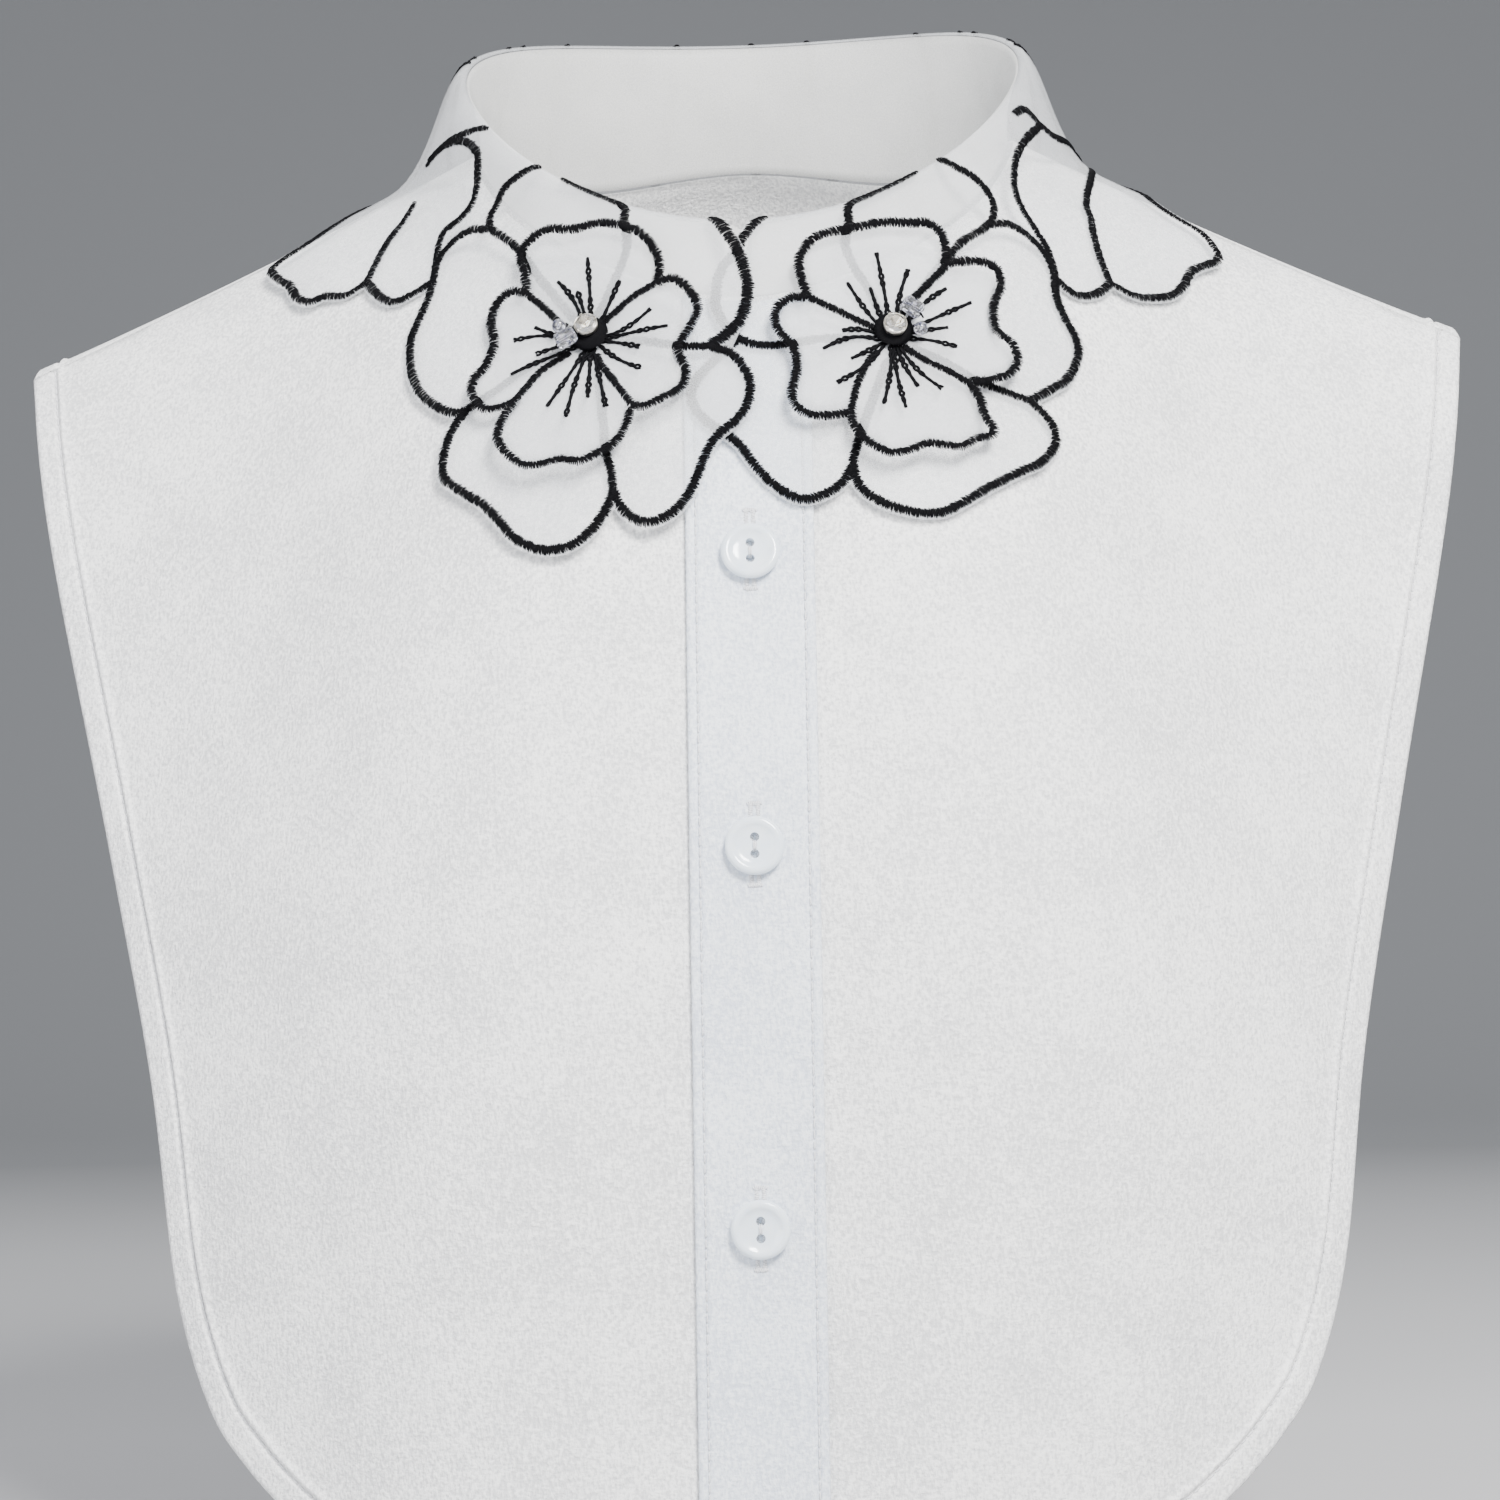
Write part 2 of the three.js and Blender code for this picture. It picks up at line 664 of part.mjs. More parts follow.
function cut(geometry, cutters) {
  const left = cutters.reduce((rest, cutter) => rest.subtract(solid(cutter)), solid(geometry));
  const mesh = left.getMesh();
  const result = new THREE.BufferGeometry();
  result.setAttribute("position", new THREE.BufferAttribute(mesh.vertProperties, 3));
  result.setIndex(new THREE.BufferAttribute(mesh.triVerts, 1));
  result.computeVertexNormals();
  return result;
}

// A dished button with a rounded rim and two sewing holes, one above the other.
function button() {
  const radius = buttonWidth / 2;
  const body = turned(
    [
      [0, 0],
      [0.78 * radius, 0],
      [radius, 0.4 * buttonHeight],
      [0.98 * radius, 0.75 * buttonHeight],
      [0.88 * radius, buttonHeight],
      [0.7 * radius, 0.85 * buttonHeight],
      [0.55 * radius, 0.68 * buttonHeight],
      [0, 0.64 * buttonHeight],
    ],
    24,
  );
  const holeRadius = buttonHoleWidth / 2;
  const holes = [-1, 1].map((side) => {
    const hole = new THREE.CylinderGeometry(holeRadius, holeRadius, 3 * buttonHeight, 12);
    return hole.translate(0, 0, (side * buttonHoleSpacing) / 2);
  });
  return cut(body, holes);
}

// A frame on the surface: its X runs to the right, its Y outward and its Z down the cloth.
function surfaceFrame(origin, outward) {
  const right = new THREE.Vector3(1, 0, 0).projectOnPlane(outward).normalize();
  const frame = new THREE.Group();
  frame.matrix.makeBasis(right, outward, right.clone().cross(outward)).setPosition(origin);
  frame.matrix.decompose(frame.position, frame.quaternion, frame.scale);
  return frame;
}

const organza = { color: 0xe6e9f0, roughness: 0.6, metalness: 0 };
const crepe = { color: 0xf1f1f4, roughness: 0.55, metalness: 0 };
const thread = { color: 0x0c0c12, roughness: 0.7, metalness: 0 };
const crystal = { color: 0xe9e4d6, roughness: 0.08, metalness: 0 };
const glass = { color: 0xc9c6de, roughness: 0.1, metalness: 0 };
const plastic = { color: 0xe6eefb, roughness: 0.2, metalness: 0 };

function piece(name, geometry, finish) {
  const mesh = new THREE.Mesh(geometry, new THREE.MeshStandardMaterial(finish));
  mesh.name = name;
  return mesh;
}

const bibCollar = new THREE.Group();
bibCollar.add(
  piece("front_left", frontHalf(-1), crepe),
  piece("front_right", frontHalf(1), crepe),
  piece("placket", placket(), crepe),
  piece("back", backPiece(), crepe),
  piece("neck_band", neckBand(), organza),
  piece("collar_leaf", collarLeaf(), organza),
);

for (const flower of flowers) {
  const turn = THREE.MathUtils.degToRad(flower.turn);
  const left = flower.side === "left";
  const middle = leafPoint(turn, flower.reach, left);
  const padFoot = flowerBase + cloth / 2 + centreGap;
  const padTop = padFoot + centreHeight;
  const frame = surfaceFrame(middle, leafOutward(turn, flower.reach, left));

  const pad = piece("flower_centre_" + flower.side, centrePad(), thread);
  pad.position.y = padFoot;

  const stone = piece("stone_" + flower.side, stoneInCup(), crystal);
  stone.position.set(flower.stone.right, padTop + layerGap, -flower.stone.up);

  const tube = piece("tube_bead_" + flower.side, tubeBead(), glass);
  tube.position.set(
    flower.tubeBead.right,
    padFoot + flower.tubeBead.onPad * centreHeight + layerGap + tubeBeadWidth / 2,
    -flower.tubeBead.up,
  );
  tube.rotation.set(0, THREE.MathUtils.degToRad(flower.tubeBead.turn), -Math.PI / 2);

  const round = piece("round_bead_" + flower.side, roundBead(), glass);
  const away = Math.hypot(flower.roundBead.right, flower.roundBead.up) / flowerRadius;
  round.position.set(
    flower.roundBead.right,
    padFoot + flowerLift * away * away + roundBeadWidth / 2,
    -flower.roundBead.up,
  );

  frame.add(pad, stone, tube, round);
  bibCollar.add(piece("flower_" + flower.side, flowerSheet(flower, middle), organza), frame);
}

const leafEdge = leafPoint(
  THREE.MathUtils.degToRad(buttonTurn),
  petalReach(rightPetals, buttonTurn),
  false,
);
const topDrop = buttonBelowLeaf - leafEdge.z;
const buttonDrops = [topDrop, topDrop + buttonSteps[0], topDrop + buttonSteps[0] + buttonSteps[1]];
["top", "middle", "bottom"].forEach((name, i) => {
  const down = downAtHeight(0, -buttonDrops[i], -1);
  const place = overBody(0, down, placketTop + layerGap);
  const frame = surfaceFrame(place, bodyNormal(0, down));
  frame.add(piece("button_" + name, button(), plastic));
  bibCollar.add(frame);
});

export default bibCollar;
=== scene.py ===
import math

import bmesh
import bpy
import numpy as np
from mathutils import Matrix, Vector, geometry


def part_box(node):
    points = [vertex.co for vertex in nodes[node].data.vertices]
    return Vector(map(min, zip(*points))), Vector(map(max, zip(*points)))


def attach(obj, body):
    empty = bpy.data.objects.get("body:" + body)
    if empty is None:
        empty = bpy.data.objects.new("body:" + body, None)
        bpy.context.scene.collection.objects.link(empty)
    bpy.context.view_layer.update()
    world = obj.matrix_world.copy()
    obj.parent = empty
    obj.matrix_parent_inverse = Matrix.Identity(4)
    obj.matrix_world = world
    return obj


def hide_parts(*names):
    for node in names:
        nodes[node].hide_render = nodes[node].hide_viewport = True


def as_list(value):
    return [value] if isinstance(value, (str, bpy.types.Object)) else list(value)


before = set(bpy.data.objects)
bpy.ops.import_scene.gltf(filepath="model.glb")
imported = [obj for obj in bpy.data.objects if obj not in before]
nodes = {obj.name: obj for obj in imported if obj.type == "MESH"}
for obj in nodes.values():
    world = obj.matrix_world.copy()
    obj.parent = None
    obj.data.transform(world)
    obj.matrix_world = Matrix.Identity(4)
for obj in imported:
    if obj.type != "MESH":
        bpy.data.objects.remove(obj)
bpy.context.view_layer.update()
mm = 0.001
rng = np.random.default_rng(7)
print("frame loaded:", len(nodes), "nodes")

# The camera stands level in front, a little turned, as the photograph does
photo = {
    "size": 1500,           # pixels along a side
    "focal": 4880,          # in pixels
    "x": -0.75 * mm,
    "y": -1220 * mm,
    "z": -150 * mm,
    "roll": 0.9,            # degrees
}


def addCamera():
    data = bpy.data.cameras.new("photoCamera")
    data.sensor_width = 36
    data.lens = 36 * photo["focal"] / photo["size"]
    data.clip_start = 0.05
    data.clip_end = 20
    camera = bpy.data.objects.new("photoCamera", data)
    bpy.context.scene.collection.objects.link(camera)
    turn = Matrix.Rotation(math.radians(90), 4, "X") @ Matrix.Rotation(math.radians(-photo["roll"]), 4, "Z")
    camera.matrix_world = Matrix.Translation((photo["x"], photo["y"], photo["z"])) @ turn
    bpy.context.scene.camera = camera


def toPhoto(points):
    # where points of the part show in the photograph, in pixels
    away = points[:, 1] - photo["y"]
    u = photo["focal"] * (points[:, 0] - photo["x"]) / away
    v = -photo["focal"] * (points[:, 2] - photo["z"]) / away
    c, s = math.cos(math.radians(photo["roll"])), math.sin(math.radians(photo["roll"]))
    half = photo["size"] / 2
    return np.stack([half + u * c + v * s, half + v * c - u * s], 1)


addCamera()

# The form that the cloth lies on. These sizes are the ones that the solids were made with.
form = {
    "shoulderWidth": 356 * mm,
    "shoulderDrop": 51 * mm,
    "shoulderTilt": 5 * mm,
    "neckWidth": 134 * mm,
    "neckFront": 62 * mm,
    "neckBack": 56 * mm,
    "frontLength": 341 * mm,
    "backLength": 262 * mm,
    "bustDepth": 122 * mm,
    "bladeDepth": 88 * mm,
    "ridgeBack": 6 * mm,
    "ridgeBend": 0.12,
    "ridgeRound": 0.4,
    "stations": [0, 0.375, 0.67, 1],
    "downs": [0, 0.25, 0.5, 0.75, 1],
    "front": [[0, 0, 0, 0], [0.33, 0.3, 0.23, 0.16], [0.67, 0.67, 0.5, 0.31],
              [0.94, 0.945, 0.76, 0.41], [1, 1, 0.8, 0.46]],
    "back": [[0, 0, 0, 0], [0.62, 0.4, 0.31, 0.2], [0.84, 0.8, 0.69, 0.39],
             [1, 0.955, 0.82, 0.46], [0.98, 0.93, 0.8, 0.49]],
}
halfShoulder = form["shoulderWidth"] / 2
halfNeck = form["neckWidth"] / 2
shoulderRun = halfShoulder - halfNeck
neckHump = (1 + form["ridgeBend"]) * form["shoulderDrop"] * halfNeck / shoulderRun / 2
formHeight = form["frontLength"] + neckHump


def smoothThrough(places, values, at, levelStart=False):
    # a smooth curve through values at rising places; values may hold a column for each point
    places = np.asarray(places, float)
    values = np.asarray(values, float)
    last = len(places) - 1
    slopes = []
    for k in range(last + 1):
        a, b = max(0, k - 1), min(last, k + 1)
        slopes.append((values[b] - values[a]) / (places[b] - places[a]))
    if levelStart:
        slopes[0] = slopes[0] * 0
    slopes = np.array(slopes)
    i = np.clip(np.searchsorted(places, at, side="right") - 1, 0, last - 1)

    def pick(table, k):
        return table[k] if table.ndim == 1 else table[k, np.arange(len(at))]

    span = places[i + 1] - places[i]
    t = (at - places[i]) / span
    s = 1 - t
    inside = (s * s * (1 + 2 * t) * pick(values, i) + t * t * (3 - 2 * t) * pick(values, i + 1)
              + span * t * s * (s * pick(slopes, i) - t * pick(slopes, i + 1)))
    below = pick(values, i) + pick(slopes, i) * (at - places[i])
    above = pick(values, i + 1) + pick(slopes, i + 1) * (at - places[i + 1])
    return np.where(t < 0, below, np.where(t > 1, above, inside))


def smoothStep(value, low, high):
    t = np.clip((value - low) / (high - low), 0, 1)
    return t * t * (3 - 2 * t)


def unit(vectors):
    return vectors / np.maximum(np.linalg.norm(vectors, axis=-1, keepdims=True), 1e-12)


def ridgeHeight(x):
    out = (np.abs(x) - halfNeck) / shoulderRun
    tilt = form["shoulderTilt"] * x / form["shoulderWidth"]
    bend = form["ridgeBend"]
    return tilt + np.where(out < 0, neckHump * (1 - (x / halfNeck) ** 2),
                           -form["shoulderDrop"] * ((1 + bend) * out - bend * out * out))


def depthColumns(x):
    share = np.abs(x) / halfShoulder
    front = np.array([smoothThrough(form["stations"], row, share, True) for row in form["front"]])
    back = np.array([smoothThrough(form["stations"], row, share, True) for row in form["back"]])
    return front, back


def depthFrom(columns, down):
    depth = smoothThrough(form["downs"], np.where(down < 0, *columns), np.abs(down))
    return form["ridgeBack"] + depth * np.where(down < 0, -form["bustDepth"], form["bladeDepth"])


def bodyPoint(x, down):
    return np.stack([x, depthFrom(depthColumns(x), down), ridgeHeight(x) - formHeight * down * down], -1)


def bodyNormal(x, down):
    across = bodyPoint(x + 1e-6, down) - bodyPoint(x - 1e-6, down)
    along = bodyPoint(x, down + 1e-3) - bodyPoint(x, down - 1e-3)
    return unit(np.cross(across, along))


def overBody(x, down, height):
    height = np.broadcast_to(height, x.shape)
    return bodyPoint(x, down) + bodyNormal(x, down) * height[:, None]


def downAtHeight(x, z, sign):
    return sign * np.sqrt(np.maximum(0, (ridgeHeight(x) - z) / formHeight))


def downAtDepth(x, y):
    leastSlope = form["bustDepth"] / 4
    columns = depthColumns(x)
    down = (y - form["ridgeBack"]) / (leastSlope * 6)
    for _ in range(8):
        miss = depthFrom(columns, down) - y
        slope = (depthFrom(columns, down + 1e-4) - depthFrom(columns, down - 1e-4)) / 2e-4
        down = np.clip(down - miss / np.maximum(slope, leastSlope), -1, 1)
    return down


def onPattern(x, down):
    return np.stack([x, formHeight * down * np.hypot(form["ridgeRound"], down)], -1)


def overPattern(place, height):
    way = place[:, 1] / formHeight
    round2 = form["ridgeRound"] ** 2
    square = (np.hypot(round2, 2 * way) - round2) / 2
    return overBody(place[:, 0], np.sign(way) * np.sqrt(square), height)


def neckSeam(turn, clearance=0.0):
    depth = np.where(np.cos(turn) > 0, form["neckFront"], form["neckBack"])
    x = (halfNeck - clearance) * np.sin(turn)
    y = -(depth - clearance) * np.cos(turn)
    return onPattern(x, downAtDepth(x, y))


def shoulderSeam(x):
    return onPattern(x, downAtDepth(x, x * 0))


# The collar's fall: a point on it has a turn round the neck and a reach from the fold
collar = {
    "foldWidth": 142 * mm,
    "foldDepth": 112 * mm,
    "foldFront": -23.3 * mm,
    "foldSide": 20.6 * mm,
    "foldBack": 34 * mm,
    "foldTilt": 2.5 * mm,
    "foldRoll": 2 * mm,
    "leafReach": 17 * mm,
    "leafEase": 13 * mm,
    "leafSettle": 18 * mm,
    "overCloth": 2.3 * mm,        # the leaf's height over the form
    "overPlacket": 4.05 * mm,     # and where the placket is under it
    "crossingRise": 1.35 * mm,    # the left half over the right half
    "crossing": math.radians(12),
    "lift": 1.6 * mm,             # of the petals' tips
    "tipReach": 2.6,
}


def foldPoint(turn):
    x = collar["foldWidth"] / 2 * np.sin(turn)
    y = -collar["foldDepth"] / 2 * np.cos(turn)
    mean = (collar["foldFront"] + collar["foldBack"]) / 2
    rise = (collar["foldBack"] - collar["foldFront"]) / 2
    bow = (collar["foldSide"] - mean) / 2
    z = mean + bow - rise * np.cos(turn) - bow * np.cos(2 * turn)
    return np.stack([x, y, z + collar["foldTilt"] * x / collar["foldWidth"]], -1)


def restHeight(x, y):
    halfPlacket = bib["placketWidth"] / 2
    beside = smoothStep(np.abs(x), halfPlacket, halfPlacket + collar["leafSettle"])
    over = collar["overPlacket"] + (collar["overCloth"] - collar["overPlacket"]) * beside
    return np.where(y > 0, collar["overCloth"], over)


def leafRows(turns, reaches):
    # the leaf's points, a row for each reach
    fold = foldPoint(turns)
    radius = np.hypot(fold[:, 0], fold[:, 1])
    out = unit(fold * np.array([1, 1, 0]))

    def resting(share):
        x = out[:, 0] * (radius + collar["leafReach"] * share)
        y = out[:, 1] * (radius + collar["leafReach"] * share)
        return overBody(x, downAtDepth(x, y), restHeight(x, y))

    rest = resting(1.0)
    along = unit(resting(1.04) - rest)
    roll = collar["foldRoll"]
    spring = roll * (2 + np.abs(np.sin(turns)) / 2)
    a = fold - out * roll / 2
    b = fold + out * spring[:, None]
    c = rest - along * collar["leafEase"]
    rows = []
    for reach in reaches:
        t, s = reach, 1 - reach
        if reach >= 1:
            row = resting(reach)
        elif reach >= 0:
            row = s ** 3 * a + 3 * s * s * t * b + 3 * s * t * t * c + t ** 3 * rest
        else:                     # inside the fold the cloth rolls over and down onto the neck band
            angle = min(-reach * collar["leafReach"] / (roll / 2), math.pi / 2)
            row = a - out * (roll / 2 * math.sin(angle)) - np.array([0, 0, roll / 2 * (1 - math.cos(angle))])
        rows.append(row)
    return np.array(rows)


# Making meshes
def toObject(name, bm, smooth=True):
    mesh = bpy.data.meshes.new(name)
    for face in bm.faces:
        face.smooth = smooth
    bm.to_mesh(mesh)
    bm.free()
    obj = bpy.data.objects.new(name, mesh)
    bpy.context.scene.collection.objects.link(obj)
    return obj


def gridSheet(name, us, vs, surface):
    # a grid whose points are laid on surface(u, v); u and v need not be evenly spaced
    bm = bmesh.new()
    bmesh.ops.create_grid(bm, x_segments=len(us) - 1, y_segments=len(vs) - 1, size=0.5)
    flat = np.array([v.co[:2] for v in bm.verts]) + 0.5
    u = us[np.rint(flat[:, 0] * (len(us) - 1)).astype(int)]
    v = vs[np.rint(flat[:, 1] * (len(vs) - 1)).astype(int)]
    for vert, point in zip(bm.verts, surface(u, v)):
        vert.co = point
    return toObject(name, bm)


def thicken(obj, thickness, offset=-1.0):
    wall = obj.modifiers.new("wall", "SOLIDIFY")
    wall.thickness = thickness
    wall.offset = offset
    wall.use_even_offset = False
    return obj


def faceOutward(obj, outward):
    # turns the faces over where most of them look away from outward(points)
    mesh = obj.data
    centres = np.array([f.center for f in mesh.polygons])
    normals = np.array([f.normal for f in mesh.polygons])
    if np.sum(normals * outward(centres)) < 0:
        mesh.flip_normals()
    return obj


def nodeCentre(name):
    low, high = (np.array(corner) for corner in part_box(name))
    return (low + high) / 2


def curveThrough(points, each=12):
    # a smooth line through the points, densely sampled
    points = np.asarray(points, float)
    padded = np.vstack([2 * points[0] - points[1], points, 2 * points[-1] - points[-2]])
    t = np.linspace(0, 1, each, endpoint=False)[:, None]
    parts = []
    for p0, p1, p2, p3 in zip(padded, padded[1:], padded[2:], padded[3:]):
        parts.append(0.5 * (2 * p1 + (p2 - p0) * t + (2 * p0 - 5 * p1 + 4 * p2 - p3) * t * t
                            + (3 * p1 - p0 - 3 * p2 + p3) * t ** 3))
    return np.vstack(parts + [points[-1:]])


def wayAlong(line):
    steps = np.linalg.norm(np.diff(line, axis=0), axis=1)
    return np.concatenate([[0], np.cumsum(steps)])


def atShare(line, share):
    way = wayAlong(line)
    at = np.asarray(share) * way[-1]
    return np.stack([np.interp(at, way, line[:, k]) for k in range(line.shape[1])], -1)


# The shirt front, the back and the placket
bib = {
    "cloth": 1 * mm,              # outside of the cloth over the form
    "thickness": 0.7 * mm,
    "placketWidth": 30 * mm,
    "placketTuck": 4 * mm,
    "placketTop": 2.75 * mm,      # outside of the placket over the form
    "placketThickness": 1.1 * mm,
    "seamGap": 0.6 * mm,
    "neckShare": 0.66,
    "backNeckShare": 0.62,
    "hem": 5.4 * mm,              # from the edge in to the row of stitches
    "hemFold": 0.4 * mm,          # how far the turned hem stands up
    "hemGroove": 0.55 * mm,       # how deep the stitches pull in
    "hemRidge": 0.65 * mm,        # the soft ridge on the inner side of the stitches
    "ridgeAway": 1.15 * mm,       # from the stitches to the ridge's top
    "ridgeWidth": 0.62 * mm,
    "grooveWidth": 0.42 * mm,
    "rimWidth": 0.9 * mm,         # within it the turned hem comes down to the stitches
    "edgeDrop": 0.5 * mm,         # how far the cloth's edge is rounded down
    "edgeWidth": 0.8 * mm,        # and within what width
    "backGap": 0.35 * mm,         # from the front to the back at the shoulders
    "waves": 0.25 * mm,           # height of the cloth's slow unevenness
    "placketRow": 2.4 * mm,       # from the placket's edge to its row of stitches
    "placketGroove": 0.42 * mm,
    "placketEdge": 0.7 * mm,
    "pucker": 0.06 * mm,          # along the placket's stitches
    "puckerStep": 1.7 * mm,
    "puckerWidth": 1.2 * mm,
    "spacing": 3.4 * mm,          # between the mesh's points
    "edgeStep": 2 * mm,           # and along the edge
    "hemRows": [0.3, 0.6, 0.9, 1.3, 2, 2.9, 3.7, 4.3, 4.6, 4.85, 5.1, 5.35, 5.6, 5.85, 6.1, 6.35,
                6.6, 6.85, 7.15, 7.5, 8, 8.7, 9.6],
    "frontOutline": [(1, .152), (.98, .223), (.946, .314), (.863, .504), (.801, .657), (.766, .798),
                     (.721, .877), (.67, .916), (.618, .944), (.55, .97), (.45, .989), (.25, .999), (0, 1)],
    "frontCorner": 8,             # the row where the side edge ends and the hem begins
    "backOutline": [(1, .198), (.97, .35), (.9, .62), (.85, .8), (.8, .88), (.72, .94), (.6, .98),
                    (.4, .998), (0, 1)],
    "backCorner": 5,
}


def outlineCurves(rows, corner, length, sign, facing, hemEnd):
    rows = np.array(rows)
    x = np.where(rows[:, 0] == 0, hemEnd, sign * rows[:, 0] * halfShoulder)
    seen = np.stack([x, form["shoulderTilt"] * x / form["shoulderWidth"] - rows[:, 1] * length], -1)

    def unroll(points):
        return onPattern(points[:, 0], downAtHeight(points[:, 0], points[:, 1], facing))

    side = unroll(seen[:corner + 1])
    side[0] = shoulderSeam(np.array([sign * halfShoulder]))[0]
    sideLine = curveThrough(side)
    hemLine = unroll(curveThrough(seen[corner:]))
    return (lambda share: atShare(sideLine, share)), (lambda share: atShare(hemLine, share))


def frontCurves(sign):
    inner = bib["placketTuck"] - bib["placketWidth"] / 2 - (bib["seamGap"] if sign < 0 else 0)
    side, hemDown = outlineCurves(bib["frontOutline"], bib["frontCorner"], form["frontLength"],
                                  sign, -1, inner)
    innerTurn = math.asin(inner / halfNeck)
    share = bib["neckShare"]

    def top(t):
        neck = neckSeam(innerTurn + (sign * math.pi / 2 - innerTurn) * np.minimum(t / share, 1))
        seam = shoulderSeam(sign * (halfNeck + shoulderRun * np.maximum(0, (t - share) / (1 - share))))
        return np.where((t < share)[:, None], neck, seam)

    topWay, hemWay = top(np.array([0.0]))[0, 1], hemDown(np.array([1.0]))[0, 1]

    def middle(v):
        return np.stack([np.full_like(v, inner), topWay + (hemWay - topWay) * v], -1)

    return top, side, hemDown, middle


def backCurves():
    left, leftHem = outlineCurves(bib["backOutline"], bib["backCorner"], form["backLength"], -1, 1, 0)
    right, rightHem = outlineCurves(bib["backOutline"], bib["backCorner"], form["backLength"], 1, 1, 0)
    shoulder = (1 - bib["backNeckShare"]) / 2

    def top(u):
        out = np.minimum(u, 1 - u) / shoulder
        sign = np.where(u < 0.5, -1, 1)
        seam = shoulderSeam(sign * (halfNeck + shoulderRun * np.maximum(0, 1 - out)))
        turn = -math.pi / 2 - math.pi * np.clip((u - shoulder) / bib["backNeckShare"], 0, 1)
        return np.where((out < 1)[:, None], seam, neckSeam(turn))

    return top, (left, leftHem), (right, rightHem)


def nearest(points, line):
    # the distance from each point to a line of straight steps
    start, step = line[:-1], np.diff(line, axis=0)
    size = np.maximum((step ** 2).sum(-1), 1e-18)
    best = np.empty(len(points))
    for first in range(0, len(points), 1000):
        gap = points[first:first + 1000, None, :] - start
        share = np.clip((gap * step).sum(-1) / size, 0, 1)
        best[first:first + 1000] = np.sqrt(((gap - share[..., None] * step) ** 2).sum(-1).min(1))
    return best


def within(points, closed):
    # which of the points lie inside a closed line
    odd = np.zeros(len(points), bool)
    for (ax, ay), (bx, by) in zip(closed[:-1], closed[1:]):
        if ay != by:
            crosses = (ay > points[:, 1]) != (by > points[:, 1])
            odd ^= crosses & (points[:, 0] < ax + (points[:, 1] - ay) * (bx - ax) / (by - ay))
    return odd


def cutSheet(name, surface, outline, spacing, rows=None):
    # the part of the surface inside a closed outline, as one evenly divided sheet; rows are more points
    # of it, a line of them after the other
    low, high = outline.min(0), outline.max(0)
    inside = []
    for row in range(int((high[1] - low[1]) / (spacing * 0.87)) + 1):
        x = np.arange(low[0] + spacing / 2 * (row % 2), high[0], spacing)
        inside.append(np.stack([x, np.full_like(x, low[1] + (row + 0.5) * spacing * 0.87)], -1))
    inside = np.vstack(inside)
    closed = np.vstack([outline, outline[:1]])
    inside = inside[within(inside, closed)]
    inside = inside[nearest(inside, closed) > spacing * 0.55]
    if rows is not None:
        inside = inside[nearest(inside, rows) > spacing * 0.5]
        rows = rows[within(rows, closed)]
        inside = np.vstack([inside, rows[nearest(rows, closed) > 0.2 * mm]])
    points = [Vector(p) for p in np.vstack([outline, inside])]
    rim = [list(range(len(outline)))]
    verts, _, faces, _, _, _ = geometry.delaunay_2d_cdt(points, [], rim, 1, 1e-7)
    places = np.array([v[:] for v in verts])
    bm = bmesh.new()
    made = [bm.verts.new(p) for p in surface(places)]
    for face in faces:
        bm.faces.new([made[i] for i in face])
    return toObject(name, bm)


def inwards(line, amount, middle, count=900):
    fine = atShare(line, np.linspace(0, 1, count))
    step = unit(np.gradient(fine, axis=0))
    aside = np.stack([-step[:, 1], step[:, 0]], -1)
    if np.sum(aside * (middle - fine)) < 0:
        aside = -aside
    moved = fine + aside * amount
    return moved[nearest(moved, fine) > amount * 0.985]


def hemRelief(distance):
    # the turned edge stands up, the stitches pull in, and the cloth behind them rises in a soft ridge
    inner = distance - bib["hem"]
    rim = bib["hemFold"] * (1 - smoothStep(inner, -bib["rimWidth"], 0))
    edge = -bib["edgeDrop"] * (1 - smoothStep(distance, 0, bib["edgeWidth"]))
    groove = -bib["hemGroove"] * np.exp(-(inner / bib["grooveWidth"]) ** 2)
    ridge = bib["hemRidge"] * np.exp(-((inner - bib["ridgeAway"]) / bib["ridgeWidth"]) ** 2)
    return rim + edge + groove + ridge


def edgeLine(*curves):
    share = np.linspace(0, 1, 130)
    return np.vstack([curve(share) for curve in curves])


def alongHem(edge, middle):
    # rows of points beside the edge, close together where the turned hem and its stitches are
    count = int(wayAlong(edge)[-1] / bib["edgeStep"])
    lines = []
    for k, away in enumerate(bib["hemRows"]):
        line = inwards(edge, away * mm, middle, count)
        lines.append(line[::-1] if k % 2 else line)
    return atShare(edge, np.linspace(0, 1, count)), np.vstack(lines)


def clothWaves(place):
    # slow, shallow unevenness, as ironed cloth has
    x, y = place[:, 0] / mm, place[:, 1] / mm
    wave = np.sin(x / 23 + y / 61 + 1.3) * np.sin(y / 47 - x / 90) + 0.5 * np.sin(x / 11 - y / 38 + 0.4)
    return bib["waves"] * wave


def clothSheet(name, top, edge, rest, middle, facing):
    # one piece of the bib: its top, its hemmed edge and the rest of its outline, in order
    rim, rows = alongHem(edge, middle)
    outline = np.vstack([top, rim[1:], rest[1:-1]])

    def surface(at):
        away = nearest(at, edge)
        below = nearest(at, top)
        calm = smoothStep(away, 2 * mm, 40 * mm) * smoothStep(below, 20 * mm, 110 * mm)
        points = overPattern(at, bib["cloth"] + hemRelief(away) + clothWaves(at) * calm)
        if facing > 0:                # the back lies a little behind the front at the shoulders
            points[:, 1] += bib["backGap"] * (1 - smoothStep(below, 0, 100 * mm))
        return points

    obj = cutSheet(name, surface, outline, bib["spacing"], rows)
    faceOutward(obj, lambda c: np.tile([0, facing, 0.2], (len(c), 1)))
    return thicken(obj, bib["thickness"])


